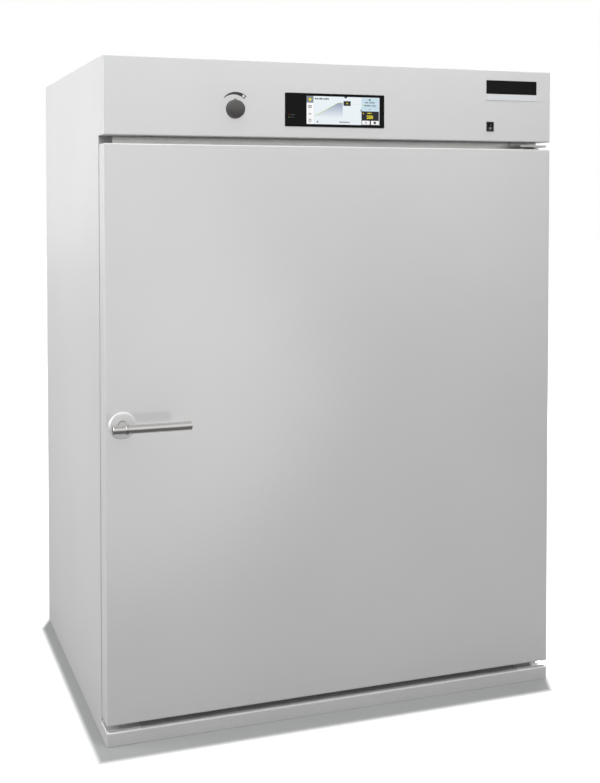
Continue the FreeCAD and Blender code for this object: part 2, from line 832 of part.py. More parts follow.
def damper_flap():
    """Square butterfly flap on a sleeve, half open with the knob upright."""
    half = riser_bore / 2 - flap_edge_gap
    plate = box(-half, half, -half, half, -flap_sheet / 2, flap_sheet / 2)
    sleeve = rod_y(0, 0, -half, half, rod_radius + flap_sleeve_wall)
    flap = plate.fuse(sleeve).cut(rod_y(0, 0, -half, half, rod_radius))
    flap.rotate(Vector(0, 0, 0), Vector(0, 1, 0), flap_rest_deg)
    flap.translate(Vector(knob_x, riser_y, knob_z))
    return flap


def damper_knob():
    """Low round knob with a bevelled face and a small raised pointer near its top."""
    back = front_y - seat_clearance
    front = back - knob_depth
    face = front + pointer_rise
    flat_radius = knob_radius - knob_draft - knob_bevel
    outline = [(0, back), (knob_radius, back), (knob_radius, back - knob_skirt),
               (knob_radius - knob_draft, face + knob_bevel), (flat_radius, face), (0, face)]
    body = turned_y(outline, knob_x, knob_z)
    pointer_top = knob_z + flat_radius - pointer_edge_gap
    pointer = box(knob_x - pointer_width / 2, knob_x + pointer_width / 2, front, face,
                  pointer_top - pointer_length, pointer_top)
    return body.fuse(pointer).cut(rod_y(knob_x, knob_z, back - rod_in_knob, back, rod_radius))


def damper_bush():
    """Sleeve pressed into the fascia that guides the rod."""
    y1 = front_y + casing_sheet + rod_bush_length
    outer = rod_radius + running_clearance + rod_bush_wall
    sleeve = rod_y(knob_x, knob_z, front_y, y1, outer)
    return sleeve.cut(rod_y(knob_x, knob_z, front_y, y1, rod_radius + running_clearance))


# Control fascia

def control_fascia():
    """Folded pan across the head of the oven, cut out for the display, the switch and the knob's rod."""
    outer = box(-half_width, half_width, front_y, body_front_y, fascia_low_z, casing_height)
    outer = rounded(outer, bend_radius, lambda edge: on_plane(edge, "Y", front_y) or (
        (on_plane(edge, "X", half_width) or on_plane(edge, "X", -half_width))
        and (on_plane(edge, "Z", casing_height) or on_plane(edge, "Z", fascia_low_z))))
    inside = box(-inner_half, inner_half, front_y + casing_sheet, body_front_y,
                 fascia_low_z + casing_sheet, casing_height - casing_sheet)
    foot = box(-inner_half, inner_half, front_y + fascia_foot_return, body_front_y, fascia_low_z,
               fascia_low_z + casing_sheet)
    glass = box(glass_left_x - glass_fit, glass_left_x + glass_width + glass_fit, front_y,
                front_y + casing_sheet, glass_low_z - glass_fit, glass_low_z + glass_height + glass_fit)
    switch_z = fascia_low_z + rocker_low_z_up
    switch = box(rocker_left_x + rocker_rim, rocker_left_x + rocker_width - rocker_rim, front_y,
                 front_y + casing_sheet, switch_z + rocker_rim, switch_z + rocker_height - rocker_rim)
    bush = rod_y(knob_x, knob_z, front_y, front_y + casing_sheet,
                 rod_radius + running_clearance + rod_bush_wall)
    return outer.cut([inside, foot, glass, switch, bush])


def display_glass():
    """Black glass, a little proud of the fascia, with a shallow seat for the lit screen."""
    y0 = front_y - glass_proud
    glass = box(glass_left_x, glass_left_x + glass_width, y0, y0 + glass_thickness, glass_low_z,
                glass_low_z + glass_height)
    glass = rounded(glass, glass_corner, lambda edge: edge.BoundBox.YLength > 1)
    return glass.cut(display_screen())


def display_screen():
    x0 = glass_left_x + screen_from_glass_left
    y0 = front_y - glass_proud
    z0 = glass_low_z + (glass_height - screen_height) / 2
    return box(x0, x0 + screen_width, y0, y0 + screen_thickness, z0, z0 + screen_height)


def display_housing():
    """Moulded box behind the glass, ribbed on its back."""
    y0 = front_y - glass_proud + glass_thickness
    y1 = y0 + housing_depth
    x0 = glass_left_x - housing_margin
    x1 = glass_left_x + glass_width + housing_margin
    z0 = glass_low_z - housing_margin
    z1 = glass_low_z + glass_height + housing_margin
    shell = rounded(box(x0, x1, y0, y1, z0, z1), housing_round, lambda edge: on_plane(edge, "Y", y1))
    pitch = (x1 - x0) / (housing_rib_count + 1)
    ribs = [box(x0 + step * pitch, x0 + step * pitch + housing_rib_sheet, y1, y1 + housing_rib_height,
                z0 + housing_rib_inset, z1 - housing_rib_inset) for step in range(1, housing_rib_count + 1)]
    return shell.fuse(ribs)


def rocker_centre():
    z = fascia_low_z + rocker_low_z_up + rocker_height / 2
    return rocker_left_x + rocker_width / 2, z


def rocker_bezel():
    """Switch body: a rim on the fascia, a box behind it and a pocket for the rocker."""
    x, z = rocker_centre()
    half_x = rocker_width / 2
    half_z = rocker_height / 2
    rim = box(x - half_x, x + half_x, front_y - rocker_rim_proud, front_y, z - half_z, z + half_z)
    rim = rounded(rim, rocker_rim_round, lambda edge: on_plane(edge, "Y", front_y - rocker_rim_proud))
    body = box(x - half_x + rocker_rim, x + half_x - rocker_rim, front_y, front_y + rocker_body_depth,
               z - half_z + rocker_rim, z + half_z - rocker_rim)
    wall = rocker_rim + rocker_wall
    pocket = box(x - half_x + wall, x + half_x - wall, front_y - rocker_rim_proud,
                 front_y + rocker_body_depth / 2, z - half_z + wall, z + half_z - wall)
    return rim.fuse(body).cut(pocket)


def rocker_paddle():
    """Shallow V rocker, tipped so that its lower half is pressed in."""
    x, z = rocker_centre()
    half_x = rocker_width / 2 - rocker_rim - rocker_wall - rocker_side_gap
    half_z = rocker_height / 2 - rocker_rim - rocker_wall - rocker_end_gap
    face = front_y - rocker_rim_proud - rocker_proud
    dip = half_z * math.tan(math.radians(rocker_tip_deg))
    foot = front_y + rocker_foot_depth
    foot_z = half_z - rocker_foot_inset
    paddle = profile_yz([(face, half_z), (face + dip, 0), (face, -half_z), (foot, -foot_z),
                         (front_y + rocker_belly_depth, 0), (foot, foot_z)], x - half_x, x + half_x)
    paddle.rotate(Vector(0, front_y + rocker_pivot_depth, 0), Vector(1, 0, 0), rocker_tip_deg)
    paddle.translate(Vector(0, 0, z))
    return paddle


def blank_plate():
    """Dark plate at the fascia's top right, with a paler strip along its foot; nothing is printed on it."""
    z1 = casing_height - plate_top_drop
    z0 = z1 - plate_height
    plate = box(plate_left_x, plate_left_x + plate_width, front_y - plate_thickness, front_y, z0, z1)
    strip = box(plate_left_x, plate_left_x + plate_width, front_y - plate_thickness, front_y,
                z0 - plate_strip_height, z0)
    return Part.makeCompound([plate, strip])


# Electrics

def contactor():
    """Switching block on the deck: a body with pole slots under a narrower crown."""
    x1 = contactor_x + contactor_width
    z0 = deck_z + carcass_sheet
    z1 = z0 + contactor_height - contactor_crown_height
    body = box(contactor_x, x1, 0, contactor_depth, z0, z1)
    crown = box(contactor_x + contactor_crown_inset, x1 - contactor_crown_inset, contactor_step,
                contactor_depth - contactor_step, z1, z1 + contactor_crown_height)
    pitch = contactor_width / pole_count
    slots = []
    for pole in range(pole_count):
        x = contactor_x + (pole + 0.5) * pitch
        for y in (contactor_step / 2, contactor_depth - contactor_step / 2):
            slots.append(box(x - pole_width / 2, x + pole_width / 2, y - pole_width / 2, y + pole_width / 2,
                             z1 - pole_height, z1))
    return body.fuse(crown).cut(slots)


def terminal_rail():
    """Top-hat rail on the deck with a row of terminals clipped over its brims."""
    z0 = deck_z + carcass_sheet
    z1 = z0 + rail_height
    brim = rail_width / 2
    hat = brim - rail_brim
    half = [(brim, z1), (brim, z1 - rail_sheet), (hat, z1 - rail_sheet), (hat, z0)]
    hollow = [(hat - rail_sheet, z0 + rail_sheet), (hat - rail_sheet, z1)]
    outline = half + [(-y, z) for y, z in reversed(half)] + [(-y, z) for y, z in reversed(hollow)] + hollow
    solids = [profile_yz(outline, 0, rail_length)]
    right = [(brim + terminal_overhang, z1), (brim, z1 + terminal_shoulder),
             (terminal_crown, z1 + terminal_height)]
    outline = right + [(-y, z) for y, z in reversed(right)]
    for index in range(terminal_count):
        x = terminal_start + index * terminal_pitch
        solids.append(profile_yz(outline, x, x + terminal_pitch - terminal_gap))
    return Part.makeCompound(solids)


def cable_gland():
    """Screwed inlet for the mains lead: hexagon and cap outside, its threaded end inside, open bore."""
    front = rear_y - gland_thread_length
    cap_y = rear_y + gland_hexagon_length
    end = cap_y + gland_cap_length
    hexagon = hexagon_prism(Vector(gland_x, rear_y, gland_z), Vector(0, gland_hexagon_length, 0),
                            gland_radius)
    cap = rod_y(gland_x, gland_z, cap_y, end, gland_cap_radius)
    thread = rod_y(gland_x, gland_z, front, rear_y, gland_thread_radius)
    return hexagon.fuse([cap, thread]).cut(rod_y(gland_x, gland_z, front, end, gland_bore))


# Shelves

def level_z(level):
    return chamber_floor_z + first_level + level * level_pitch


def shelf_ladder_left():
    """Two square posts on the chamber's side with a row of angle ledges."""
    top = level_z(shelf_levels - 1) + ledge_upstand + 2 * ledge_sheet
    y_front = body_front_y + post_inset
    y_rear = chamber_rear_y - post_inset
    solids = []
    for y in (y_front, y_rear):
        post = box(-half_chamber, -half_chamber + post_size, y - post_size / 2, y + post_size / 2,
                   ladder_low_z, top)
        solids.append(post)
    x0 = -half_chamber + post_size
    for level in range(shelf_levels):
        z = level_z(level)
        solids.append(box(x0, x0 + ledge_sheet, body_front_y + ladder_end_gap,
                          chamber_rear_y - ladder_end_gap, z, z + ledge_upstand))
        solids.append(box(x0 + ledge_sheet, x0 + ledge_width, body_front_y + ladder_end_gap,
                          chamber_rear_y - ladder_end_gap, z, z + ledge_sheet))
    return Part.makeCompound(solids)


def shelf_grid(level):
    """Wire shelf: a mitred frame of round bar, wires laid across it and two cross bars below them."""
    radius = grid_frame_radius
    half = half_chamber - post_size - ledge_sheet - grid_side_gap - radius
    inner = half - radius
    y1 = chamber_rear_y - ladder_end_gap
    y0 = y1 - grid_depth
    z = level_z(level) + ledge_sheet + seat_clearance + radius
    rods = [wire(Vector(x, y0, z), Vector(x, y1, z), radius) for x in (-half, half)]
    rods += [wire(Vector(-inner, y, z), Vector(inner, y, z), radius) for y in (y0 + radius, y1 - radius)]
    wire_z = z + radius + grid_wire_radius + grid_weld_gap
    pitch = 2 * half / (grid_wire_count + 1)
    for index in range(grid_wire_count):
        x = -half + (index + 1) * pitch
        rods.append(wire(Vector(x, y0, wire_z), Vector(x, y1, wire_z), grid_wire_radius))
    bar_z = wire_z - grid_wire_radius - grid_bar_radius - grid_weld_gap
    for share in (1, 2):
        y = y0 + share * grid_depth / 3
        rods.append(wire(Vector(-inner, y, bar_z), Vector(inner, y, bar_z), grid_bar_radius))
    return Part.makeCompound(rods)


# Hinges and latch fittings on the cabinet

def plinth_plate(x0, x1):
    """Plate on the plinth under a corner of the door, its two front corners rounded."""
    front = front_y + bracket_front_inset
    plate = box(x0, x1, front, body_front_y - seat_clearance, plinth_height, plinth_height + bracket_plate)
    return rounded(plate, bracket_corner, lambda edge: on_plane(edge, "Y", front)
                   and (on_plane(edge, "X", x0) or on_plane(edge, "X", x1)))


def hinge_pin(z0, z1, free_end):
    pin = rod_z(hinge_x, hinge_y, z0, z1, hinge_pin_radius)
    return pin.makeChamfer(hinge_pin_chamfer, [edge for edge in pin.Edges if on_plane(edge, "Z", free_end)])


def hinge_bracket_bottom():
    """Plate on the plinth's right end with a shouldered pin."""
    x1 = half_width - bracket_side_inset
    plate_top = plinth_height + bracket_plate
    shoulder = rod_z(hinge_x, hinge_y, plate_top, door_low_z - bush_flange - seat_clearance,
                     bush_flange_radius)
    pin_top = door_low_z + hinge_pin_engage
    return plinth_plate(x1 - bracket_length, x1).fuse([shoulder, hinge_pin(plate_top, pin_top, pin_top)])


def hinge_bracket_top():
    """Angle on the cabinet's face over the door, with a pin that points down."""
    x1 = half_width - bracket_side_inset
    x0 = x1 - bracket_length
    front = hinge_y - bush_flange_radius - bracket_rim
    low = door_top_z + bush_flange + bracket_plate
    plate = box(x0, x1, front, body_front_y, low, low + bracket_plate)
    plate = rounded(plate, bracket_corner, lambda edge: on_plane(edge, "Y", front)
                    and (on_plane(edge, "X", x0) or on_plane(edge, "X", x1)))
    foot = box(x0, x1, body_front_y - bracket_plate, body_front_y, low, low + hinge_foot_height)
    pin_end = door_top_z - hinge_pin_engage
    return plate.fuse([foot, hinge_pin(pin_end, low, pin_end)]).removeSplitter()


def door_rest_plate():
    """Plate on the plinth's left end, the fellow of the hinge plate."""
    x0 = -half_width + bracket_side_inset
    return plinth_plate(x0, x0 + bracket_length)


def latch_keeper():
    """Ramped block on the left flange that the latch cam bears on."""
    x0 = -half_width + keeper_side_inset
    x1 = handle_x - neck_radius
    proud = body_front_y - (door_rear_y + cam_thickness + 2 * seat_clearance)
    low = handle_z - cam_width
    high = handle_z + cam_width
    ramp = cam_width / 2
    return profile_yz([(body_front_y, low), (body_front_y, high), (body_front_y - proud / 2, high),
                       (body_front_y - proud, high - ramp), (body_front_y - proud, low + ramp),
                       (body_front_y - proud / 2, low)], x0, x1)


def screw_head(x, y, z, way):
    """Low hexagonal head seated at a point."""
    return hexagon_prism(Vector(x, y, z), way * screw_head_height, screw_head_radius)


def fixing_screws():
    """Heads in the rear panel's edges and in the two plinth plates."""
    heads = []
    inset = hidden_flange / 2
    pitch = (casing_height - 2 * inset) / (rear_screws_each_side - 1)
    for step in range(rear_screws_each_side):
        heads.append(screw_head(-half_width + inset, rear_y, inset + step * pitch, Vector(0, 1, 0)))
    plate_end = -half_width + bracket_side_inset + bracket_length
    for step in range(2):
        x = plate_end - plate_screw_inset - step * plate_screw_pitch
        heads.append(screw_head(x, (front_y + body_front_y) / 2, plinth_height + bracket_plate,
                                Vector(0, 0, 1)))
    return Part.makeCompound(heads + [mirrored_x(head) for head in heads])


# Door

def door_skin():
    """Folded outer pan, holed for the lever's spindle and the hinge bushes."""
    outer = box(-half_width, half_width, front_y, door_rear_y, door_low_z, door_top_z)
    outer = rounded(outer, bend_radius, lambda edge: on_plane(edge, "Y", front_y) or (
        (on_plane(edge, "X", half_width) or on_plane(edge, "X", -half_width))
        and (on_plane(edge, "Z", door_top_z) or on_plane(edge, "Z", door_low_z))))
    inside = box(-inner_half, inner_half, front_y + casing_sheet, door_rear_y, door_low_z + casing_sheet,
                 door_top_z - casing_sheet)
    return outer.cut([inside] + door_holes())


def door_holes():
    sleeve = hinge_pin_radius + running_clearance + bush_wall
    sleeve_length = hinge_pin_engage + hinge_pin_end_gap
    return [rod_y(handle_x, handle_z, front_y, door_rear_y + liner_raise, spindle_hole_radius),
            rod_z(hinge_x, hinge_y, door_low_z, door_low_z + sleeve_length, sleeve),
            rod_z(hinge_x, hinge_y, door_top_z - sleeve_length, door_top_z, sleeve)]


def raised_field(inset):
    """The liner's raised field; an inset of one sheet gives the hollow behind it."""
    margin = liner_field_margin + inset
    field = box(-half_chamber + margin, half_chamber - margin, door_rear_y - liner_sheet - inset,
                door_rear_y + liner_raise - inset, chamber_floor_z + margin, chamber_top_z - margin)
    return field.makeChamfer(liner_raise * 0.8, [edge for edge in field.Edges
                                                 if on_plane(edge, "Y", door_rear_y + liner_raise - inset)])


def door_liner():
    """Stainless inner sheet with a raised field that faces the chamber."""
    sheet = box(-inner_half, inner_half, door_rear_y - liner_sheet, door_rear_y, door_low_z + casing_sheet,
                door_top_z - casing_sheet)
    return sheet.fuse(raised_field(0)).cut([raised_field(liner_sheet)] + door_holes())


def door_wool():
    """Wool between the skin and the inner sheet."""
    block = box(-inner_half, inner_half, front_y + casing_sheet, door_rear_y - liner_sheet,
                door_low_z + casing_sheet, door_top_z - casing_sheet)
    return block.cut(door_holes())


def door_gasket():
    """Soft ring on the door's inner sheet, its corners rounded and its sealing face narrowed."""
    low = gasket_overlap
    high = gasket_overlap - gasket_width
    rear = body_front_y - seat_clearance
    outer = box(-half_chamber - low, half_chamber + low, door_rear_y, rear, chamber_floor_z - low,
                chamber_top_z + low)
    outer = rounded(outer, gasket_width / 2, lambda edge: edge.BoundBox.YLength > 1)
    outer = outer.makeChamfer(gasket_bevel, [edge for edge in outer.Edges if on_plane(edge, "Y", rear)])
    inner = box(-half_chamber - high, half_chamber + high, door_rear_y, rear, chamber_floor_z - high,
                chamber_top_z + high)
    return outer.cut(inner)


def door_bushes():
    """Flanged sleeves in the door's right corners that turn on the hinge pins."""
    bore = hinge_pin_radius + running_clearance
    solids = []
    for seat, way in ((door_low_z, 1), (door_top_z, -1)):
        inner_end = seat + way * (hinge_pin_engage + hinge_pin_end_gap)
        outer_end = seat - way * bush_flange
        sleeve = rod_z(hinge_x, hinge_y, min(seat, inner_end), max(seat, inner_end), bore + bush_wall)
        flange = rod_z(hinge_x, hinge_y, min(seat, outer_end), max(seat, outer_end), bush_flange_radius)
        hole = rod_z(hinge_x, hinge_y, min(outer_end, inner_end), max(outer_end, inner_end), bore)
        solids.append(sleeve.fuse(flange).cut(hole))
    return Part.makeCompound(solids)


# Lever handle

def handle_rosette():
    """Thin round plate with a bevelled rim and a recess that guides the neck."""
    back = front_y
    face = front_y - rosette_thickness
    bore = neck_radius + running_clearance
    outline = [(bore, back), (rosette_radius, back), (rosette_radius, back - rosette_bevel),
               (rosette_radius - rosette_bevel, face), (bore, face)]
    return turned_y(outline, handle_x, handle_z)


def handle_grip():
    """Round bar that lies across, its two ends eased."""
    bar = rod_x(handle_x - grip_left_reach, handle_x + grip_right_reach, grip_y, handle_z, grip_radius)
    ends = [edge for edge in bar.Edges if edge.Curve.TypeId == "Part::GeomCircle"]
    return bar.makeChamfer(grip_end_chamfer, ends)


def handle_neck():
    """Turned neck from the rosette to a collar round the grip."""
    neck = rod_y(handle_x, handle_z, grip_y, front_y - seat_clearance, neck_radius)
    collar = rod_x(handle_x - collar_width / 2, handle_x + collar_width / 2, grip_y, handle_z,
                   grip_radius + collar_wall)
    grip_hole = rod_x(handle_x - 2 * neck_radius, handle_x + 2 * neck_radius, grip_y, handle_z, grip_radius)
    seat = box(handle_x - spindle_side / 2, handle_x + spindle_side / 2, front_y - grip_standoff / 2,
               front_y, handle_z - spindle_side / 2, handle_z + spindle_side / 2)
    return neck.fuse(collar).cut([grip_hole, seat])


def latch_spindle():
    """Square bar through the door with the latch cam on its inner end."""
    cam_y0 = door_rear_y + seat_clearance
    half = spindle_side / 2
    bar = box(handle_x - half, handle_x + half, front_y - grip_standoff / 2, cam_y0 + cam_thickness,
              handle_z - half, handle_z + half)
    cam = box(handle_x - cam_length, handle_x, cam_y0, cam_y0 + cam_thickness,
              handle_z - cam_width / 2, handle_z + cam_width / 2)
    hub = rod_y(handle_x, handle_z, cam_y0, cam_y0 + cam_thickness, cam_width / 2)
    cam = rounded(cam, cam_corner, lambda edge: on_plane(edge, "X", handle_x - cam_length)
                  and edge.BoundBox.YLength > 1)
    return bar.fuse([cam, hub])


def shelf_ladder_right():
    return mirrored_x(shelf_ladder_left())


def side_panel_right():
    return mirrored_x(side_panel_left())


PIECES = [base_tray, base_runners, plinth, side_panel_left, side_panel_right, rear_panel, top_cover,
          front_frame, liner_floor, liner_ceiling, liner_sides, liner_rear, chamber_wool, side_retainers,
          rear_carrier, electrics_deck, air_baffle, heater_ring, heater_clips, fan_motor, fan_shaft,
          fan_impeller, fresh_air_tube, temperature_probe, exhaust_riser, exhaust_spigot, damper_rod,
          damper_flap, damper_knob, damper_bush, control_fascia, display_housing, display_glass,
          display_screen, rocker_bezel, rocker_paddle, blank_plate, contactor, terminal_rail, cable_gland,
          shelf_ladder_left, shelf_ladder_right, hinge_bracket_bottom, hinge_bracket_top, door_rest_plate,
          latch_keeper, fixing_screws, door_skin, door_liner, door_wool, door_gasket, door_bushes,
          handle_rosette, handle_grip, handle_neck, latch_spindle]

for piece in PIECES:
    save(piece.__name__, piece())
for grid_name, grid_level in grid_loaded_levels.items():
    save(grid_name, shelf_grid(grid_level))
print("outside", 2 * half_width, casing_depth, casing_height)
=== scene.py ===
# %% [markdown]
# A laboratory drying oven stands on a pale studio floor.
# Its sheet-metal work, hinges, fan and shelves are already built to size, and they arrive here as a
# fixed frame of named parts. Everything in this file is about looks: finishes for those parts, and
# finer versions of the small pieces that a visitor touches or reads.
# We load the frame first, and the boxes of its parts give the places and sizes of what we add.
# Nothing that we add may grow out of it.

# %% Load the frame
import json
import math

import bmesh
import bpy
from mathutils import Matrix, Vector


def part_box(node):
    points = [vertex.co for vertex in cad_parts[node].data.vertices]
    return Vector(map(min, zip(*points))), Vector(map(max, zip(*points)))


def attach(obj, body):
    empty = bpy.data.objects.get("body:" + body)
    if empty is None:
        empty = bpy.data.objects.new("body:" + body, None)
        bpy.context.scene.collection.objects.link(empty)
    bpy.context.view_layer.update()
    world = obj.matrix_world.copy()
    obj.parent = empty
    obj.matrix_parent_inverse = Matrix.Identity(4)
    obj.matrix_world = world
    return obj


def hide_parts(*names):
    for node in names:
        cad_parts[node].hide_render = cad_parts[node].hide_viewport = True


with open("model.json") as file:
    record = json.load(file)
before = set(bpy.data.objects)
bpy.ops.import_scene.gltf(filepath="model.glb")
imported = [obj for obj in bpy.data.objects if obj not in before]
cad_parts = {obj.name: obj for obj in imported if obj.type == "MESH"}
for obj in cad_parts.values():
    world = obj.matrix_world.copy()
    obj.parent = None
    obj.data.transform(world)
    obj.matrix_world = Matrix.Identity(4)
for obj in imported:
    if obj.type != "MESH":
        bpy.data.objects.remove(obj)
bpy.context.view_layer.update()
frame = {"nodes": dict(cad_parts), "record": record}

# %% [markdown]
# The driving places come from the frame, so the looks follow the oven if its sizes change.
# Each is named after the thing it belongs to: the fascia, the knob, the lever's axis.
# Reading a node's box is enough, because it gives the outer faces and middles that small pieces need.

# %% Places taken from the frame
fascia_low, fascia_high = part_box("control_fascia")
glass_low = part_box("display_glass")[0]
screen_low, screen_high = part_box("display_screen")
knob_low, knob_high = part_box("damper_knob")
grip_low, grip_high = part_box("handle_grip")
rosette_low, rosette_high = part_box("handle_rosette")
collar_low, collar_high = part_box("handle_neck")
rocker_low, rocker_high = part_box("rocker_paddle")
rocker_rim_low, rocker_rim_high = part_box("rocker_bezel")
plate_low, plate_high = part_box("blank_plate")
MM = 0.001
front_y = fascia_low.y
half_width = fascia_high.x
knob_x = (knob_low.x + knob_high.x) / 2
knob_z = (knob_low.z + knob_high.z) / 2
lever_x = (rosette_low.x + rosette_high.x) / 2
lever_z = (rosette_low.z + rosette_high.z) / 2
grip_y = (grip_low.y + grip_high.y) / 2
print("front face at y", round(front_y, 4), "lever at", round(lever_x, 4), round(lever_z, 4))

# %% [markdown]
# ## Finishes
# A finish in Blender is a small graph of nodes that ends in a shader. Most of the oven needs the same
# recipe: a base colour that drifts a little, a roughness that drifts too, and a fine bump.
# The drift is what tells the eye that a sheet was sprayed, rolled or brushed and not filled with a
# single flat colour. Colours are chosen as a screen shows them, but a shader counts light, so the
# first helpers turn the one into the other.

# %% Colours
def linear(value):
    """A screen colour value between 0 and 1, as the shader wants it."""
    return value / 12.92 if value <= 0.04045 else ((value + 0.055) / 1.055) ** 2.4


def colour(red, green, blue):
    """A screen colour as the shader's four numbers, the last of which says that it is opaque."""
    return (linear(red), linear(green), linear(blue), 1.0)


def shade(value, amount):
    """The same grey or colour, lighter or darker by a small amount."""
    return tuple(min(1.0, part * amount) for part in value[:3]) + (1.0,)


print("a screen's middle grey counts as", round(linear(0.5), 3), "of full light")

# %% [markdown]
# Textures are read in object coordinates, which here are real metres, so the grain has the same size
# on every part. Noise makes the grain, and squeezing it along one axis gives it a direction.

# %% Start and grain
def start_finish(name, base, roughness, metallic=0.0):
    """A new material with its graph and its main shader, ready to be built on."""
    material = bpy.data.materials.new(name)
    material.use_nodes = True
    graph = material.node_tree
    shader = graph.nodes["Principled BSDF"]
    shader.inputs["Base Color"].default_value = base
    shader.inputs["Roughness"].default_value = roughness
    shader.inputs["Metallic"].default_value = metallic
    return material, graph, shader


def grain(graph, scale, squeeze=(1, 1, 1), detail=3.0, roughness=0.55):
    """Noise with so many features per metre, packed closer along an axis by its squeeze value."""
    place = graph.nodes.new("ShaderNodeTexCoord")
    sizes = graph.nodes.new("ShaderNodeMapping")
    sizes.inputs["Scale"].default_value = squeeze
    noise = graph.nodes.new("ShaderNodeTexNoise")
    noise.inputs["Scale"].default_value = scale
    noise.inputs["Detail"].default_value = detail
    noise.inputs["Roughness"].default_value = roughness
    graph.links.new(place.outputs["Object"], sizes.inputs["Vector"])
    graph.links.new(sizes.outputs["Vector"], noise.inputs["Vector"])
    return noise.outputs["Fac"]


print("made the helpers start_finish and grain")

# %% [markdown]
# Blender's noise runs from 0 to 1 but seldom leaves the middle of that range, so the middle is
# stretched over all of what it drives, a colour or a roughness. A bump takes the noise as it is.

# %% What the noise drives
NOISE_LOW = 0.3
NOISE_HIGH = 0.7
FINE_RELIEF = 0.0002


def drift(graph, factor, dark, light, low=NOISE_LOW, high=NOISE_HIGH):
    """Turns a value into a colour between two others."""
    ramp = graph.nodes.new("ShaderNodeValToRGB")
    ramp.color_ramp.elements[0].position = low
    ramp.color_ramp.elements[0].color = dark
    ramp.color_ramp.elements[1].position = high
    ramp.color_ramp.elements[1].color = light
    graph.links.new(factor, ramp.inputs["Fac"])
    return ramp.outputs["Color"]


def vary_colour(graph, shader, factor, base, darker, lighter, low=NOISE_LOW, high=NOISE_HIGH):
    """Lets a value move the shader's colour between two shades of the base."""
    tone = drift(graph, factor, shade(base, darker), shade(base, lighter), low, high)
    graph.links.new(tone, shader.inputs["Base Color"])


def vary_shine(graph, shader, factor, smooth, rough):
    """Lets a value move the shader's roughness between two limits."""
    scale = graph.nodes.new("ShaderNodeMapRange")
    scale.inputs["From Min"].default_value = NOISE_LOW
    scale.inputs["From Max"].default_value = NOISE_HIGH
    scale.inputs["To Min"].default_value = smooth
    scale.inputs["To Max"].default_value = rough
    graph.links.new(factor, scale.inputs["Value"])
    graph.links.new(scale.outputs["Result"], shader.inputs["Roughness"])


def relief(graph, shader, height, strength, distance=FINE_RELIEF):
    """Lets a value raise and sink the surface, in the shading only."""
    bump = graph.nodes.new("ShaderNodeBump")
    bump.inputs["Strength"].default_value = strength
    bump.inputs["Distance"].default_value = distance
    graph.links.new(height, bump.inputs["Height"])
    graph.links.new(bump.outputs["Normal"], shader.inputs["Normal"])


print("fine relief is at most", round(FINE_RELIEF / MM, 2), "mm deep")

# %% [markdown]
# ### Powder-coated casing
# The fascia, door, sides and plinth are steel sheet with a pale grey powder coat. Baked powder is
# satin, and it has a fine orange-peel surface of about a millimetre. Two noises make it: a fine one
# for the peel's bump and roughness, and a broad one, about half a metre across, for the faint tone
# drift of a large sheet. The record that comes with the frame says which finish slot each part
# belongs to, so every finished material is kept under the name of its slot.

# %% Powder coat
SLOT_FINISH = {}


def keep_finish(slot, material):
    """Keeps a material for one slot and says how large its graph is."""
    SLOT_FINISH[slot] = material
    print(slot, "is", material.name, "with", len(material.node_tree.nodes), "nodes")


def powder_coat():
    base = colour(0.830, 0.826, 0.824)
    material, graph, shader = start_finish("powder_coat", base, 0.42)
    broad = grain(graph, 2.2, detail=2.0)
    vary_colour(graph, shader, broad, base, 0.975, 1.02)
    peel = grain(graph, 900.0, detail=2.0)
    vary_shine(graph, shader, peel, 0.36, 0.48)
    relief(graph, shader, peel, 0.12)
    shader.inputs["Specular IOR Level"].default_value = 0.45
    shader.inputs["Coat Weight"].default_value = 0.08
    shader.inputs["Coat Roughness"].default_value = 0.3
    return material


keep_finish("casing_paint", powder_coat())

# %% [markdown]
# ### Brushed and turned metal
# The chamber, the front frame behind the door and the lever are stainless. Brushing leaves long fine
# scratches, so the noise is squeezed across the brushing direction and drawn out along it.
# The scratches go into roughness and a faint bump, which breaks reflections into the soft streaks
# that brushed metal shows. One function serves every direction, and with an even squeeze it also
# serves drawn wire and plated fittings.

# %% Brushed metal
def brushed(name, base, squeeze, roughness=(0.24, 0.38), bump=0.05, tint=0.06, metallic=1.0):
    material, graph, shader = start_finish(name, base, roughness[0], metallic=metallic)
    scratches = grain(graph, 60.0, squeeze, detail=6.0, roughness=0.7)
    vary_colour(graph, shader, scratches, base, 1 - tint, 1 + tint)
    vary_shine(graph, shader, scratches, *roughness)
    relief(graph, shader, scratches, bump)
    return material


keep_finish("stainless_sheet", brushed("brushed_sheet", colour(0.82, 0.82, 0.81), (0.6, 1, 14)))
keep_finish("stainless_handle", brushed("brushed_lever", colour(0.84, 0.83, 0.82), (0.8, 16, 16),
                                        (0.28, 0.36), 0.02, 0.03))
keep_finish("stainless_wire", brushed("polished_wire", colour(0.78, 0.78, 0.77), (3, 3, 3),
                                      (0.16, 0.26)))
keep_finish("steel_fittings", brushed("plated_steel", colour(0.80, 0.80, 0.79), (4, 4, 4),
                                      (0.3, 0.44)))
keep_finish("bush_metal", brushed("turned_bronze", colour(0.60, 0.55, 0.46), (6, 6, 1),
                                  (0.28, 0.4)))

# %% [markdown]
# ### Zinc-coated sheet
# The hidden carcass sheets are hot-dip zinc coated. Zinc freezes in flat crystals, called spangle,
# under a centimetre across, each with its own grey. Voronoi cells give exactly that pattern.

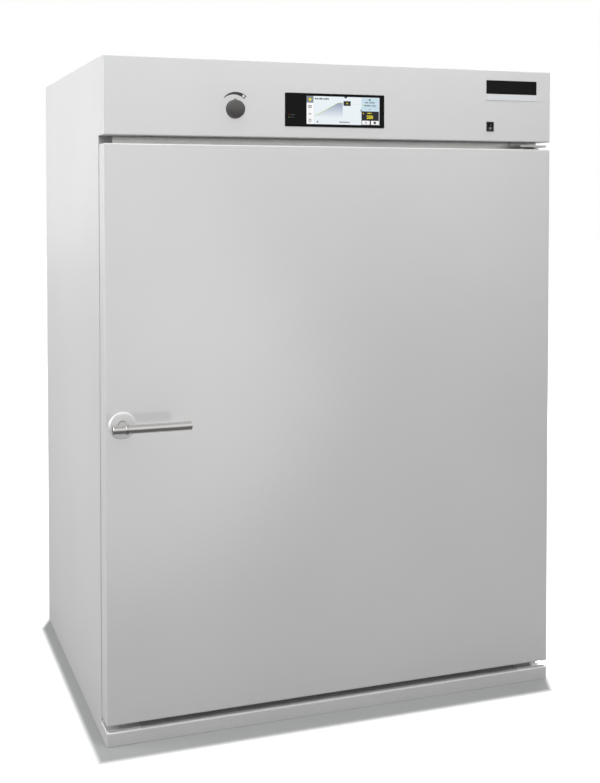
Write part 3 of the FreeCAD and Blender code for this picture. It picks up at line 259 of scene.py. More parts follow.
# %% Zinc spangle
def zinc_sheet():
    base = colour(0.62, 0.64, 0.66)
    material, graph, shader = start_finish("zinc_sheet", base, 0.45, metallic=1.0)
    place = graph.nodes.new("ShaderNodeTexCoord")
    cells = graph.nodes.new("ShaderNodeTexVoronoi")
    cells.inputs["Scale"].default_value = 110.0
    graph.links.new(place.outputs["Object"], cells.inputs["Vector"])
    tone = graph.nodes.new("ShaderNodeSeparateColor")
    graph.links.new(cells.outputs["Color"], tone.inputs["Color"])
    vary_colour(graph, shader, tone.outputs["Red"], base, 0.82, 1.12, 0.0, 1.0)
    vary_shine(graph, shader, tone.outputs["Green"], 0.34, 0.52)
    return material


keep_finish("galvanised_sheet", zinc_sheet())

# %% [markdown]
# ### Wool, rubber and moulded plastic
# Mineral wool is a felt of fibres: a squeezed noise with a strong bump reads as layered fibre.
# Silicone rubber and moulded plastic share a recipe, a fine even texture with a satin shine, and
# differ only in colour, grain size and roughness.

# %% Wool and moulded finishes
def wool():
    base = colour(0.74, 0.68, 0.50)
    material, graph, shader = start_finish("mineral_wool", base, 0.95)
    fibres = grain(graph, 160.0, (1, 1, 5), detail=8.0, roughness=0.75)
    vary_colour(graph, shader, fibres, base, 0.7, 1.15)
    relief(graph, shader, fibres, 0.7, 0.002)
    shader.inputs["Sheen Weight"].default_value = 0.3
    return material


def moulded(name, base, roughness, fineness=1400.0, bump=0.15, tint=0.06):
    material, graph, shader = start_finish(name, base, roughness)
    texture = grain(graph, fineness, detail=2.0)
    vary_colour(graph, shader, texture, base, 1 - tint, 1 + tint)
    vary_shine(graph, shader, texture, roughness - 0.06, roughness + 0.06)
    relief(graph, shader, texture, bump)
    return material


keep_finish("mineral_wool", wool())
keep_finish("knob_plastic", moulded("knob_plastic", colour(0.295, 0.285, 0.28), 0.42))
keep_finish("switch_plastic", moulded("switch_plastic", colour(0.075, 0.075, 0.08), 0.38))
keep_finish("housing_plastic", moulded("housing_plastic", colour(0.13, 0.13, 0.14), 0.55, 900.0, 0.25))
keep_finish("gasket_silicone", moulded("gasket_silicone", colour(0.17, 0.17, 0.18), 0.6, 500.0, 0.3))

# %% [markdown]
# ### Cast and heated metal
# The motor's housing is a sand-grey casting with a coarse skin. The heater's sheath has been hot, so
# its steel has turned brown and straw in soft bands, which a slow noise through a two-colour ramp
# gives.

# %% Cast and heat-tinted finishes
def casting():
    base = colour(0.47, 0.48, 0.50)
    material, graph, shader = start_finish("motor_casting", base, 0.55, metallic=0.7)
    skin = grain(graph, 420.0, detail=5.0)
    vary_colour(graph, shader, skin, base, 0.85, 1.12)
    relief(graph, shader, skin, 0.4, 0.0004)
    return material


def heat_tinted():
    material, graph, shader = start_finish("heater_sheath", colour(0.36, 0.32, 0.29), 0.4, metallic=1.0)
    bands = grain(graph, 22.0, detail=3.0)
    brown_to_straw = drift(graph, bands, colour(0.26, 0.22, 0.22), colour(0.50, 0.41, 0.30))
    graph.links.new(brown_to_straw, shader.inputs["Base Color"])
    vary_shine(graph, shader, bands, 0.3, 0.5)
    return material


keep_finish("motor_casting", casting())
keep_finish("heater_sheath", heat_tinted())

# %% [markdown]
# ### Display glass and things that glow
# The display is a sheet of toughened glass, printed black on its back, with a lit panel behind a
# clear window. Black gloss comes from a nearly black base with a weak, sharp reflection. The lit
# colours emit a little light of their own, so they read as a screen in any room, and their base stays
# dark enough that studio light doesn't wash them out. A faint smear in the roughness is what fingers
# leave.

# %% Glass and lit colours
def black_glass(name="display_black", base=colour(0.03, 0.03, 0.035)):
    material, graph, shader = start_finish(name, base, 0.12)
    shader.inputs["Specular IOR Level"].default_value = 0.11
    smear = grain(graph, 30.0, (1, 1, 2.5), detail=4.0)
    vary_shine(graph, shader, smear, 0.08, 0.2)
    vary_colour(graph, shader, smear, base, 1.0, 1.3)
    return material


def lit(name, red, green, blue, strength=0.55):
    """A screen colour: part reflected, part emitted, with the faint grain of a panel's pixels."""
    base = colour(red, green, blue)
    material, graph, shader = start_finish(name, shade(base, 0.4), 0.35)
    pixels = grain(graph, 1600.0, detail=1.0)
    vary_colour(graph, shader, pixels, base, 0.38, 0.42)
    shader.inputs["Emission Color"].default_value = base
    shader.inputs["Emission Strength"].default_value = strength
    return material


keep_finish("display_black", black_glass())
keep_finish("plate_black", black_glass("plate_black", colour(0.045, 0.045, 0.05)))
keep_finish("screen_lit", lit("screen_white", 0.93, 0.96, 0.975))

# %% [markdown]
# ## Finishes on the frame's parts
# Every part of the frame now gets the material of its slot, so no part is left bare.
# The parts' meshes stay as they are. We only tell Blender to shade them smooth up to a crease angle,
# which makes rods look round and folded edges stay crisp.

# %% One material for each slot
CREASE = math.radians(32)


def dress(node, slot):
    part = frame["nodes"][node]
    part.data.materials.clear()
    part.data.materials.append(SLOT_FINISH[slot])
    part.data.shade_smooth()
    part.data.set_sharp_from_angle(angle=CREASE)


for entry in frame["record"]["subparts"]:
    dress(entry["node"], entry["material_slot"])

# %% [markdown]
# The plate at the fascia's right is black, with a pale strip along its foot. Both are one frame part,
# so the strip gets its own finish face by face: every face whose middle lies below the strip's upper
# edge takes the second material. The two plates on the plinth are pale zinc, made whiter than the
# other fittings as painted light, standing for the light that reaches them in the slot under the door.

# %% Second finishes on single parts
STRIP_SHARE = 14 / 45
EDGE_MARGIN = 0.1 * MM
plate_part = frame["nodes"]["blank_plate"]
strip_top = plate_low.z + STRIP_SHARE * (plate_high.z - plate_low.z)
plate_part.data.materials.append(moulded("plate_strip", colour(0.845, 0.85, 0.855), 0.4))
strip_faces = [face for face in plate_part.data.polygons
               if (plate_part.matrix_world @ face.center).z < strip_top - EDGE_MARGIN]
for face in strip_faces:
    face.material_index = 1
# Painted light: the plinth plates' pale zinc colour is raised to stand for light in the slot under the
# door.
zinc_with_painted_light = brushed("zinc_with_painted_light", colour(0.95, 0.95, 0.95), (3, 3, 3), (0.32, 0.42), 0.03, 0.02, 0.7)
for node in ("door_rest_plate", "hinge_bracket_bottom"):
    frame["nodes"][node].data.materials[0] = zinc_with_painted_light
print("strip faces", len(strip_faces))

# %% [markdown]
# ## Tools for the small pieces
# The pieces that people touch deserve rounder shapes than the frame's facets. Three makers cover
# them: a lathe for turned pieces, a soft-edged plate, and a flat print cut from an outline.
# Each builds its mesh in bmesh. Another helper gives the piece its finish and rides it on the body that
# carries it.

# %% Seat and mesh
def seat(piece, finish, body):
    piece.data.materials.append(finish)
    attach(piece, body)
    return piece


def mesh_piece(name, build):
    """Turns a finished bmesh into an object with the crease angle of the frame's parts."""
    mesh = bpy.data.meshes.new(name)
    build.normal_update()
    build.to_mesh(mesh)
    build.free()
    piece = bpy.data.objects.new(name, mesh)
    bpy.context.scene.collection.objects.link(piece)
    mesh.shade_smooth()
    mesh.set_sharp_from_angle(angle=CREASE)
    return piece


print("edges are creased from", round(math.degrees(CREASE)), "degrees")

# %% [markdown]
# The lathe turns an outline about an axis, ring by ring. A point on the axis needs no ring, so it is
# made only once, and the faces that meet there are triangles.

# %% Lathe
ON_AXIS = 1e-7


def lathe(name, outline, centre, axis="Y", steps=96):
    """Turns an outline of (radius, distance) points about an axis through the centre."""
    build = bmesh.new()
    rings = []
    for radius, along in outline:
        ring = []
        for step in range(steps if radius > ON_AXIS else 1):
            turn = 2 * math.pi * step / steps
            across = (radius * math.cos(turn), radius * math.sin(turn))
            spot = (across[0], along, across[1]) if axis == "Y" else (along, across[0], across[1])
            ring.append(build.verts.new(Vector(spot) + centre))
        rings.append(ring)
    for inner, outer in zip(rings, rings[1:]):
        for step in range(steps):
            corners = [inner[step % len(inner)], outer[step % len(outer)],
                       outer[(step + 1) % len(outer)], inner[(step + 1) % len(inner)]]
            unique = list(dict.fromkeys(corners))
            if len(unique) > 2:
                build.faces.new(unique)
    bmesh.ops.recalc_face_normals(build, faces=build.faces)
    return mesh_piece(name, build)


print("made the lathe")

# %% [markdown]
# A soft plate is a cube stretched between two corners, with its edges bevelled round. A print is a
# flat outline, drawn out to the thickness of its ink.

# %% Plate and print
INK = 0.12 * MM


def soft_plate(name, low, high, edge=0.8 * MM, steps=3):
    """A block between two corners with its edges rounded."""
    build = bmesh.new()
    bmesh.ops.create_cube(build, size=1.0)
    size = Vector(high) - Vector(low)
    bmesh.ops.scale(build, vec=size, verts=build.verts)
    bmesh.ops.translate(build, vec=(Vector(low) + Vector(high)) / 2, verts=build.verts)
    bmesh.ops.bevel(build, geom=build.edges[:], offset=edge, segments=steps, profile=0.5,
                    affect="EDGES")
    return mesh_piece(name, build)


def flat_print(name, outline, y, thickness=INK):
    """A thin raised print on a face that looks along -Y, from an outline of (x, z) points."""
    build = bmesh.new()
    back = [build.verts.new((x, y, z)) for x, z in outline]
    face = build.faces.new(back)
    grown = bmesh.ops.extrude_face_region(build, geom=[face])
    moved = [item for item in grown["geom"] if isinstance(item, bmesh.types.BMVert)]
    bmesh.ops.translate(build, vec=(0, -thickness, 0), verts=moved)
    bmesh.ops.recalc_face_normals(build, faces=build.faces)
    return mesh_piece(name, build)


print("prints are", round(INK / MM, 2), "mm thick")

# %% [markdown]
# ## The lever handle
# The lever is a round stainless bar, a turned neck with a slim collar that grips the bar, and a thin
# bevelled rosette on the door. All of them are turned pieces on the real thing, so they are turned
# here too. Their ends and rims get small radii that catch the light, which the frame's plain chamfers
# can't do. They replace their frame parts and stay inside those parts' boxes.

# %% Grip
ROUND_STEPS = 6
QUARTER_TURN = [math.pi / 2 * step / ROUND_STEPS for step in range(ROUND_STEPS + 1)]


def turned_bar(name, low, high, edge):
    """A round bar along X between two corners of its box, with both ends rounded."""
    radius = (high.z - low.z) / 2
    centre = Vector((0, (low.y + high.y) / 2, (low.z + high.z) / 2))
    outline = [(0, low.x)]
    outline += [(radius - edge * (1 - math.sin(turn)), low.x + edge * (1 - math.cos(turn)))
                for turn in QUARTER_TURN]
    outline += [(radius - edge * (1 - math.cos(turn)), high.x - edge * (1 - math.sin(turn)))
                for turn in QUARTER_TURN]
    outline += [(0, high.x)]
    return lathe(name, outline, centre, axis="X")


END_ROUND = 1.6 * MM
lever_metal = SLOT_FINISH["stainless_handle"]
grip = seat(turned_bar("lever_grip", grip_low, grip_high, END_ROUND), lever_metal, "handle")
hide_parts("handle_grip")
print("lever length", round((grip_high.x - grip_low.x) * 1000), "mm")

# %% [markdown]
# The collar is a short ring round the bar, with the edges of its rims taken off. The neck grows from
# the bar to its full radius on the way to the door, so its outline is a list of steps: how much
# slimmer it is, and how far behind the bar's axis.

# %% Collar and neck
collar_half = 3.0 * MM
collar_lip = 0.7 * MM
collar_wall = 2.0 * MM
collar_left = lever_x - collar_half
collar_right = lever_x + collar_half
collar_radius = (collar_high.z - collar_low.z) / 2
collar_outline = [
    (collar_radius - collar_lip, collar_left), (collar_radius, collar_left + collar_lip),
    (collar_radius, collar_right - collar_lip), (collar_radius - collar_lip, collar_right),
    (collar_radius - collar_wall, collar_right), (collar_radius - collar_wall, collar_left),
    (collar_radius - collar_lip, collar_left)]
collar = lathe("lever_collar", collar_outline, Vector((0, grip_y, lever_z)), axis="X")
seat(collar, SLOT_FINISH["stainless_wire"], "handle")

NECK_STEPS = ((2.0 * MM, 4 * MM), (1.2 * MM, 12 * MM), (0.0, 20 * MM))
neck_radius = (collar_high.x - collar_low.x) / 2
neck_back = collar_high.y
neck_outline = [(0, grip_y + NECK_STEPS[0][1])]
neck_outline += [(neck_radius - slimmer, grip_y + behind) for slimmer, behind in NECK_STEPS]
neck_outline += [(neck_radius, neck_back), (0, neck_back)]
neck = lathe("lever_neck", neck_outline, Vector((lever_x, 0, lever_z)))
seat(neck, lever_metal, "handle")
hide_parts("handle_neck")
print("neck radius", round(neck_radius * 1000, 1), "mm")
print("collar radius", round(collar_radius * 1000, 1), "mm")

# %% [markdown]
# The rosette is a disc with a hole for the neck. Its rim runs straight for a little way and then
# leans in to the face, and the edge of the hole is taken off too. It is satin where the bar is
# brushed, so it has its own, rougher and less metallic finish.

# %% Rosette
rosette_radius = (rosette_high.x - rosette_low.x) / 2
rosette_face = rosette_low.y
rosette_back = rosette_high.y
neck_hole = neck_radius + 0.1 * MM
rosette_outline = [
    (neck_hole, rosette_back), (rosette_radius, rosette_back),
    (rosette_radius, rosette_back - 2.2 * MM), (rosette_radius - 0.5 * MM, rosette_back - 2.9 * MM),
    (rosette_radius - 2.6 * MM, rosette_face + 0.25 * MM), (rosette_radius - 3.4 * MM, rosette_face),
    (neck_radius + 1.0 * MM, rosette_face), (neck_hole, rosette_face + 0.8 * MM),
    (neck_hole, rosette_back)]
rosette = lathe("lever_rosette", rosette_outline, Vector((lever_x, 0, lever_z)))
rosette_metal = brushed("satin_rosette", colour(0.88, 0.88, 0.875), (6, 6, 6), (0.46, 0.56), 0.02,
                        0.02, 0.4)
seat(rosette, rosette_metal, "door")
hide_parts("handle_rosette")
print("rosette radius", round(rosette_radius * 1000, 1), "mm")

# %% [markdown]
# ## The exhaust-air knob and its scale
# The knob is a low moulded disc with a gently domed face and a fine skirt line. Its outline is built
# in three runs: the skirt, a rounded shoulder and the dome, which falls off with the square of the
# distance from the middle.

# %% Knob
SKIRT_STEPS = ((0.0, 0.0), (0.0, 2.4 * MM), (0.5 * MM, 2.9 * MM), (1.1 * MM, 3.2 * MM))
SHOULDER = 2.0 * MM
DOME = 2.4 * MM
DOME_STEPS = 12
knob_radius = (knob_high.x - knob_low.x) / 2
knob_back = knob_high.y
knob_face = knob_low.y
knob_outline = [(0, knob_back)]
knob_outline += [(knob_radius - inward, knob_back - ahead) for inward, ahead in SKIRT_STEPS]
knob_outline.append((knob_radius - 1.5 * MM, knob_face + DOME + 2.2 * MM))
shoulder_radius = knob_radius - 1.6 * MM
for turn in QUARTER_TURN[1:]:
    knob_outline.append((shoulder_radius - SHOULDER * (1 - math.cos(turn)),
                         knob_face + DOME + SHOULDER - SHOULDER * math.sin(turn)))
rim_radius, rim_y = knob_outline[-1]
for step in range(1, DOME_STEPS + 1):
    share = step / DOME_STEPS
    knob_outline.append((rim_radius * (1 - share),
                         rim_y - (rim_y - knob_face) * (1 - (1 - share) ** 2)))
knob = lathe("air_knob", knob_outline, Vector((knob_x, 0, knob_z)))
seat(knob, SLOT_FINISH["knob_plastic"], "damper")
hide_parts("damper_knob")
print("knob radius", round(knob_radius * 1000, 1), "mm at", round(knob_x, 4), round(knob_z, 4))

# %% [markdown]
# The pointer is a small nub on the knob's skirt. It is paler than the knob and reaches a little past
# the rim, so its place shows from afar.

# %% Pointer
NUB_HALF_WIDTH = 2.9 * MM
knob_top = knob_z + knob_radius
pointer = soft_plate("air_knob_pointer",
                     (knob_x - NUB_HALF_WIDTH, knob_back - 4.4 * MM, knob_top - 3 * MM),
                     (knob_x + NUB_HALF_WIDTH, knob_back - 0.4 * MM, knob_top + 2.3 * MM))
pointer_grey = moulded("pointer_grey", colour(0.51, 0.50, 0.49), 0.45)
seat(pointer, pointer_grey, "damper")
print("pointer", round(2 * NUB_HALF_WIDTH / MM, 1), "mm wide")

# %% [markdown]
# Above the knob a printed wedge grows round it from thin to thick, the common sign for little to
# much. Prints are real ink films, so they are made as very thin solids on the fascia. Their places
# are turns about the knob, clockwise from straight up.

# %% Printed wedge scale
WEDGE_TURNS = (-47, 42)
THIN_END = (33.3 * MM, 33.9 * MM)
THICK_END = (29.4 * MM, 37.6 * MM)
WEDGE_GROWTH = 0.7


def about_knob(radius, turn):
    """The point of the fascia at a radius and a turn from the knob's axis."""
    return knob_x + radius * math.sin(turn), knob_z + radius * math.cos(turn)


def bent_wedge(thin_end, thick_end, turns_deg, steps=40):
    """Outline of a wedge bent round the knob. Each end is given by its inner and outer radius."""
    points = []
    there = range(steps + 1)
    for side, order in ((1, there), (0, reversed(there))):
        for step in order:
            share = step / steps
            turn = math.radians(turns_deg[0] + (turns_deg[1] - turns_deg[0]) * share)
            growth = (thick_end[side] - thin_end[side]) * share ** WEDGE_GROWTH
            points.append(about_knob(thin_end[side] + growth, turn))
    return points


scale_ink = moulded("scale_ink", colour(0.20, 0.205, 0.205), 0.5)
wedge = flat_print("air_scale_wedge", bent_wedge(THIN_END, THICK_END, WEDGE_TURNS), front_y)
seat(wedge, scale_ink, "cabinet")
print("wedge over", WEDGE_TURNS[1] - WEDGE_TURNS[0], "degrees")

# %% [markdown]
# A small white square sits in the wedge's thick end. It lies on the wedge's ink, so it starts where
# that ends, and it stands square to the knob's radius there.

# %% White sign
SIGN_CORNER = 3.6 * MM
sign_turn = math.radians(34)
sign_x, sign_z = about_knob(33.4 * MM, sign_turn)
sign_corners = []
for step in range(4):
    corner_turn = sign_turn + math.radians(45 + 90 * step)
    sign_corners.append((sign_x + SIGN_CORNER * math.sin(corner_turn),
                         sign_z + SIGN_CORNER * math.cos(corner_turn)))
sign = flat_print("air_scale_sign", sign_corners, front_y - INK, 0.06 * MM)
seat(sign, moulded("sign_white", colour(0.86, 0.865, 0.87), 0.5), "cabinet")
print("sign turned by", round(math.degrees(sign_turn)), "degrees about the knob")

# %% [markdown]
# ## The touch display
# The lit panel shows a plain programme page: a bar of small signs on the left, a temperature curve
# in the middle and read-outs on the right. Every area is a thin film in front of the panel, laid in
# the panel's own measure from 0 to 1 in both directions, so the page scales with the screen.
# The signs are generic shapes and the only characters are plain numbers.

# %% Page maker
screen_y = screen_low.y
screen_w = screen_high.x - screen_low.x
screen_h = screen_high.z - screen_low.z
FILM = 0.06 * MM


def page(u, v):
    """A point on the screen from shares of its width and height, counted from the lower left."""
    return screen_low.x + u * screen_w, screen_low.z + v * screen_h


def rectangle(x0, z0, x1, z1):
    """Outline of an upright rectangle between two corners."""
    return [(x0, z0), (x1, z0), (x1, z1), (x0, z1)]


def lay(name, outline, finish, layer):
    """Lays an outline on the screen, higher layers over lower ones."""
    return seat(flat_print(name, outline, screen_y, FILM * layer), finish, "cabinet")


def film(name, u0, v0, u1, v1, finish, layer=1):
    return lay(name, rectangle(*page(u0, v0), *page(u1, v1)), finish, layer)


def disc(name, u, v, radius, finish, layer=2, steps=32):
    x, z = page(u, v)
    turns = [2 * math.pi * step / steps for step in range(steps)]
    outline = [(x + radius * math.cos(turn), z + radius * math.sin(turn)) for turn in turns]
    return lay(name, outline, finish, layer)


print("screen", round(screen_w * 1000, 1), "x", round(screen_h * 1000, 1), "mm")

# %% [markdown]
# The page needs nine colours. Its large areas lie lowest, and the signs and numbers go over them in
# higher layers.

# %% Areas of the page
LIT = {
    "white": lit("lit_white", 0.985, 0.985, 0.985),
    "sky": lit("lit_sky", 0.79, 0.88, 0.925),
    "navy": lit("lit_navy", 0.07, 0.08, 0.12, 0.3),
    "grey": lit("lit_grey", 0.50, 0.53, 0.56),
    "yellow": lit("lit_yellow", 0.90, 0.84, 0.10, 0.7),
    "lime": lit("lit_lime", 0.76, 0.84, 0.25),
    "ink": lit("lit_ink", 0.30, 0.32, 0.38, 0.3),
    "text": lit("lit_text", 0.22, 0.24, 0.29, 0.2),
    "faint": lit("lit_faint", 0.82, 0.85, 0.88),
}
film("page_sidebar", 0.0, 0.0, 0.092, 0.76, LIT["white"])
film("page_tile", 0.0, 0.76, 0.092, 1.0, LIT["grey"])
disc("page_tile_sun", 0.046, 0.878, 2.9 * MM, LIT["yellow"])
film("page_panel_sky", 0.75, 0.5, 0.993, 0.985, LIT["sky"])
film("page_panel_navy", 0.75, 0.17, 0.993, 0.5, LIT["navy"])
film("page_panel_foot", 0.75, 0.0, 0.993, 0.17, LIT["navy"])
film("page_button_left", 0.757, 0.015, 0.865, 0.16, LIT["white"], 2)
film("page_button_right", 0.882, 0.015, 0.99, 0.16, LIT["white"], 2)
print("page colours", len(LIT))

# %% [markdown]
# The curve's body is a blue wedge that fades towards its foot. A fade along one direction is a
# gradient in the material: the height in metres, mapped between the wedge's foot and its top.
# Blender's mix node keeps its colour sockets behind those for numbers and vectors, so they are
# called by their places.

# %% Curve with its fading body
MIX_SHARE = 0
MIX_FIRST = 6
MIX_SECOND = 7
MIX_RESULT = 2
BLACK = (0, 0, 0, 1)


def fading_blue(z_foot, z_top):
    material, graph, shader = start_finish("lit_fade", colour(0.5, 0.55, 0.68), 0.35)
    place = graph.nodes.new("ShaderNodeTexCoord")
    split = graph.nodes.new("ShaderNodeSeparateXYZ")
    graph.links.new(place.outputs["Object"], split.inputs["Vector"])
    height = graph.nodes.new("ShaderNodeMapRange")
    height.inputs["From Min"].default_value = z_foot
    height.inputs["From Max"].default_value = z_top
    graph.links.new(split.outputs["Z"], height.inputs["Value"])
    pale = colour(0.94, 0.965, 0.975)
    blue = colour(0.55, 0.60, 0.73)
    fade = drift(graph, height.outputs["Result"], pale, blue, 0.0, 1.0)
    dim = graph.nodes.new("ShaderNodeMix")
    dim.data_type = "RGBA"
    dim.inputs[MIX_SHARE].default_value = 0.6
    dim.inputs[MIX_SECOND].default_value = BLACK
    graph.links.new(fade, dim.inputs[MIX_FIRST])
    graph.links.new(dim.outputs[MIX_RESULT], shader.inputs["Base Color"])
    graph.links.new(fade, shader.inputs["Emission Color"])
    shader.inputs["Emission Strength"].default_value = 0.55
    return material


CURVE = [(0.115, 0.30), (0.43, 0.78), (0.49, 0.78)]
FOOT_V = 0.22
TOP_V = 0.8
body_outline = [page(u, v) for u, v in CURVE] + [page(CURVE[-1][0], FOOT_V), page(0.24, FOOT_V)]
fade_finish = fading_blue(page(0, FOOT_V)[1], page(0, TOP_V)[1])
lay("page_curve_body", body_outline[::-1], fade_finish, 1)
print("curve through", len(CURVE), "points")

# %% [markdown]
# The curve's bright line and the page's fine rules are strokes. A stroke is one flat strip for each
# straight stretch, as wide as it is told.

# %% Strokes
def stroke(name, points, width, finish, layer=3):
    """A line of constant width through page points, one strip for each straight stretch."""
    for index, (start, end) in enumerate(zip(points, points[1:])):
        a = Vector(page(*start))
        b = Vector(page(*end))
        side = Vector((-(b - a).y, (b - a).x)).normalized() * width / 2
        outline = [tuple(a - side), tuple(b - side), tuple(b + side), tuple(a + side)]
        lay("%s_%d" % (name, index), outline, finish, layer)


stroke("page_curve_line", CURVE, 0.9 * MM, LIT["lime"])
disc("page_curve_start", 0.115, 0.30, 1.0 * MM, LIT["lime"], 4)
stroke("page_axis", [(0.112, 0.24), (0.112, 0.84)], 0.25 * MM, LIT["faint"], 2)
stroke("page_level", [(0.56, 0.745), (0.74, 0.745)], 0.25 * MM, LIT["faint"], 2)
film("page_tag", 0.502, 0.68, 0.6, 0.85, LIT["navy"], 3)
print("strips for the curve", len(CURVE) - 1)

# %% [markdown]
# The large read-out and the tag on the curve are plain numbers. Text in Blender is a curve, and
# turning it into a mesh keeps its shape in every viewer.

# %% Numbers
LETTER_DEPTH = 0.02 * MM
LETTER_WEIGHT = 0.02


def number(name, text, u, v, height, finish, layer=3):
    letters = bpy.data.curves.new(name + "_curve", "FONT")
    letters.body = text
    letters.size = height
    letters.align_x = "CENTER"
    letters.align_y = "CENTER"
    letters.extrude = LETTER_DEPTH
    letters.offset = height * LETTER_WEIGHT
    source = bpy.data.objects.new(name + "_source", letters)
    bpy.context.scene.collection.objects.link(source)
    bpy.context.view_layer.update()
    mesh = bpy.data.meshes.new_from_object(source)
    bpy.data.objects.remove(source)
    mesh.transform(Matrix.Rotation(math.pi / 2, 4, "X"))
    x, z = page(u, v)
    mesh.transform(Matrix.Translation((x, screen_y - FILM * layer, z)))
    mesh.materials.clear()
    piece = bpy.data.objects.new(name, mesh)
    bpy.context.scene.collection.objects.link(piece)
    return seat(piece, finish, "cabinet")


readout = number("page_number_main", "200", 0.865, 0.285, 10.5 * MM, LIT["yellow"])
number("page_number_tag", "200", 0.551, 0.765, 3.6 * MM, LIT["yellow"], 4)
film("page_number_caption", 0.83, 0.42, 0.89, 0.445, LIT["yellow"], 3)
print("read-out of", len(readout.data.vertices), "points")

# %% [markdown]
# Rows of short blocks stand for the page's captions: from a distance they read as print. The signs in
# the sidebar and on the buttons are frames, bars and rings, and a hole in a sign is a white film on
# a higher layer.

# %% Captions and signs
TITLE_BLOCKS = (0.016, 0.022, 0.012, 0.026, 0.014, 0.02, 0.024, 0.014)
FOOT_BLOCKS = (0.02, 0.014, 0.024, 0.016, 0.02, 0.012)


def caption(name, u, v, widths, height, finish, gap=0.006):
    """A row of short blocks, every third one taller than the others."""
    for index, width in enumerate(widths):
        block_height = height * (0.8 if index % 3 else 1.0)
        film("%s_%d" % (name, index), u, v, u + width, v + block_height, finish, 2)
        u += width + gap


caption("page_title", 0.112, 0.885, TITLE_BLOCKS, 0.052, LIT["text"])
caption("page_foot", 0.45, 0.07, FOOT_BLOCKS, 0.04, LIT["text"])
film("page_foot_mark", 0.138, 0.065, 0.157, 0.112, LIT["text"], 2)
TAB_RADIUS = 3.4 * MM
tab_x, tab_z = page(0.532, 1.0)
tab_turns = [math.pi * step / 16 for step in range(17)]
tab_outline = [(tab_x + TAB_RADIUS * math.cos(turn), tab_z - TAB_RADIUS * math.sin(turn))
               for turn in tab_turns]
lay("page_tab", tab_outline[::-1], LIT["ink"], 2)
film("page_slider", 0.738, 0.47, 0.752, 0.57, LIT["grey"], 4)
disc("page_mark_yellow", 0.776, 0.42, 1.2 * MM, LIT["yellow"], 3)
disc("page_mark_lime", 0.78, 0.72, 1.3 * MM, LIT["lime"], 3)
disc("page_sky_dial", 0.865, 0.915, 2.1 * MM, LIT["ink"], 3)
SKY_BARS = ((0.80, 0.845, 0.80), (0.86, 0.93, 0.80), (0.79, 0.88, 0.69), (0.895, 0.95, 0.69))
for row, (start, end, level) in enumerate(SKY_BARS):
    film("page_sky_bar_%d" % row, start, level, end, level + 0.03, LIT["ink"], 3)
film("page_sky_foot", 0.855, 0.555, 0.875, 0.575, LIT["ink"], 3)
film("page_sidebar_sign_a", 0.026, 0.58, 0.066, 0.665, LIT["text"], 3)
film("page_sidebar_sign_a_gap", 0.036, 0.60, 0.056, 0.645, LIT["white"], 4)
film("page_sidebar_sign_c", 0.03, 0.37, 0.062, 0.385, LIT["text"], 3)
film("page_sidebar_sign_d", 0.03, 0.34, 0.062, 0.355, LIT["text"], 3)
disc("page_sidebar_sign_b", 0.046, 0.13, 3.2 * MM, LIT["text"], 3)
disc("page_sidebar_sign_b_hole", 0.046, 0.13, 2.0 * MM, LIT["white"], 4)
disc("page_button_sign_left", 0.811, 0.088, 2.2 * MM, LIT["text"], 3)
disc("page_button_sign_left_hole", 0.811, 0.088, 1.2 * MM, LIT["white"], 4)
film("page_button_sign_right", 0.92, 0.045, 0.952, 0.13, LIT["text"], 3)

# %% [markdown]
# Two tiny lamps sit in the black margin, one red and one green, with a short printed bar beside each.

# %% Status lamps
LAMP_INSET = 8.5 * MM
BAR_START = 3 * MM
BAR_END = 13 * MM
BAR_HALF_HEIGHT = 0.5 * MM
LAMP_OUTLINE = [(0, 0), (0.9 * MM, 0), (0.7 * MM, -0.1 * MM), (0, -0.14 * MM)]
lamp_x = glass_low.x + LAMP_INSET
for name, up, finish in (("red", 24.5, lit("lamp_red", 0.62, 0.16, 0.12, 0.6)),
                         ("green", 19.2, lit("lamp_green", 0.45, 0.62, 0.20, 0.6))):
    lamp_z = glass_low.z + up * MM
    lamp = lathe("status_lamp_" + name, LAMP_OUTLINE, Vector((lamp_x, glass_low.y, lamp_z)), steps=24)
    seat(lamp, finish, "cabinet")
    bar_outline = rectangle(lamp_x + BAR_START, lamp_z - BAR_HALF_HEIGHT,
                            lamp_x + BAR_END, lamp_z + BAR_HALF_HEIGHT)
    bar = flat_print("status_bar_" + name, bar_outline, glass_low.y)
    seat(bar, moulded("status_ink_" + name, colour(0.26, 0.26, 0.27), 0.5), "cabinet")
    print(name, "lamp", up, "mm above the glass's foot")

# %% [markdown]
# ## The rocker switch
# A rocker is a shallow V of plastic that tips in its frame. The frame's version is true in form, so
# it stays, and only its two marks are added: a bar for on and a ring for off, printed pale on the
# rocker's two faces. They ride on the rocker, so they tip with it. The bar is drawn about the fold
# between the faces and then leaned forward with the upper face.

# %% Rocker marks
ROCKER_LEAN = math.radians(16)
LOWER_FACE_PROUD = 1.634 * MM
FOLD_DROP = 0.37 * MM
RING_DROP = 4.1 * MM
RING_HOLE = 1.5 * MM
RING_RIM = 2.1 * MM
MARK = 0.1 * MM
rocker_x = (rocker_low.x + rocker_high.x) / 2
rocker_z = (rocker_rim_low.z + rocker_rim_high.z) / 2
lower_face_y = front_y - LOWER_FACE_PROUD
fold = Vector((rocker_x, lower_face_y, rocker_z - FOLD_DROP))
mark_ink = moulded("mark_ink", colour(0.80, 0.80, 0.80), 0.5)
ring_outline = [(RING_HOLE, lower_face_y), (RING_RIM, lower_face_y), (RING_RIM, lower_face_y - MARK),
                (RING_HOLE, lower_face_y - MARK), (RING_HOLE, lower_face_y)]
ring_centre = Vector((rocker_x, 0, rocker_z - RING_DROP))
ring_mark = lathe("rocker_mark_ring", ring_outline, ring_centre, steps=40)
seat(ring_mark, mark_ink, "rocker")
bar_outline = rectangle(-0.3 * MM, 1.8 * MM, 0.3 * MM, 5.6 * MM)
bar_mark = flat_print("rocker_mark_bar", bar_outline, 0.0, MARK)
bar_mark.data.transform(Matrix.Translation(fold) @ Matrix.Rotation(ROCKER_LEAN, 4, "X"))
seat(bar_mark, mark_ink, "rocker")
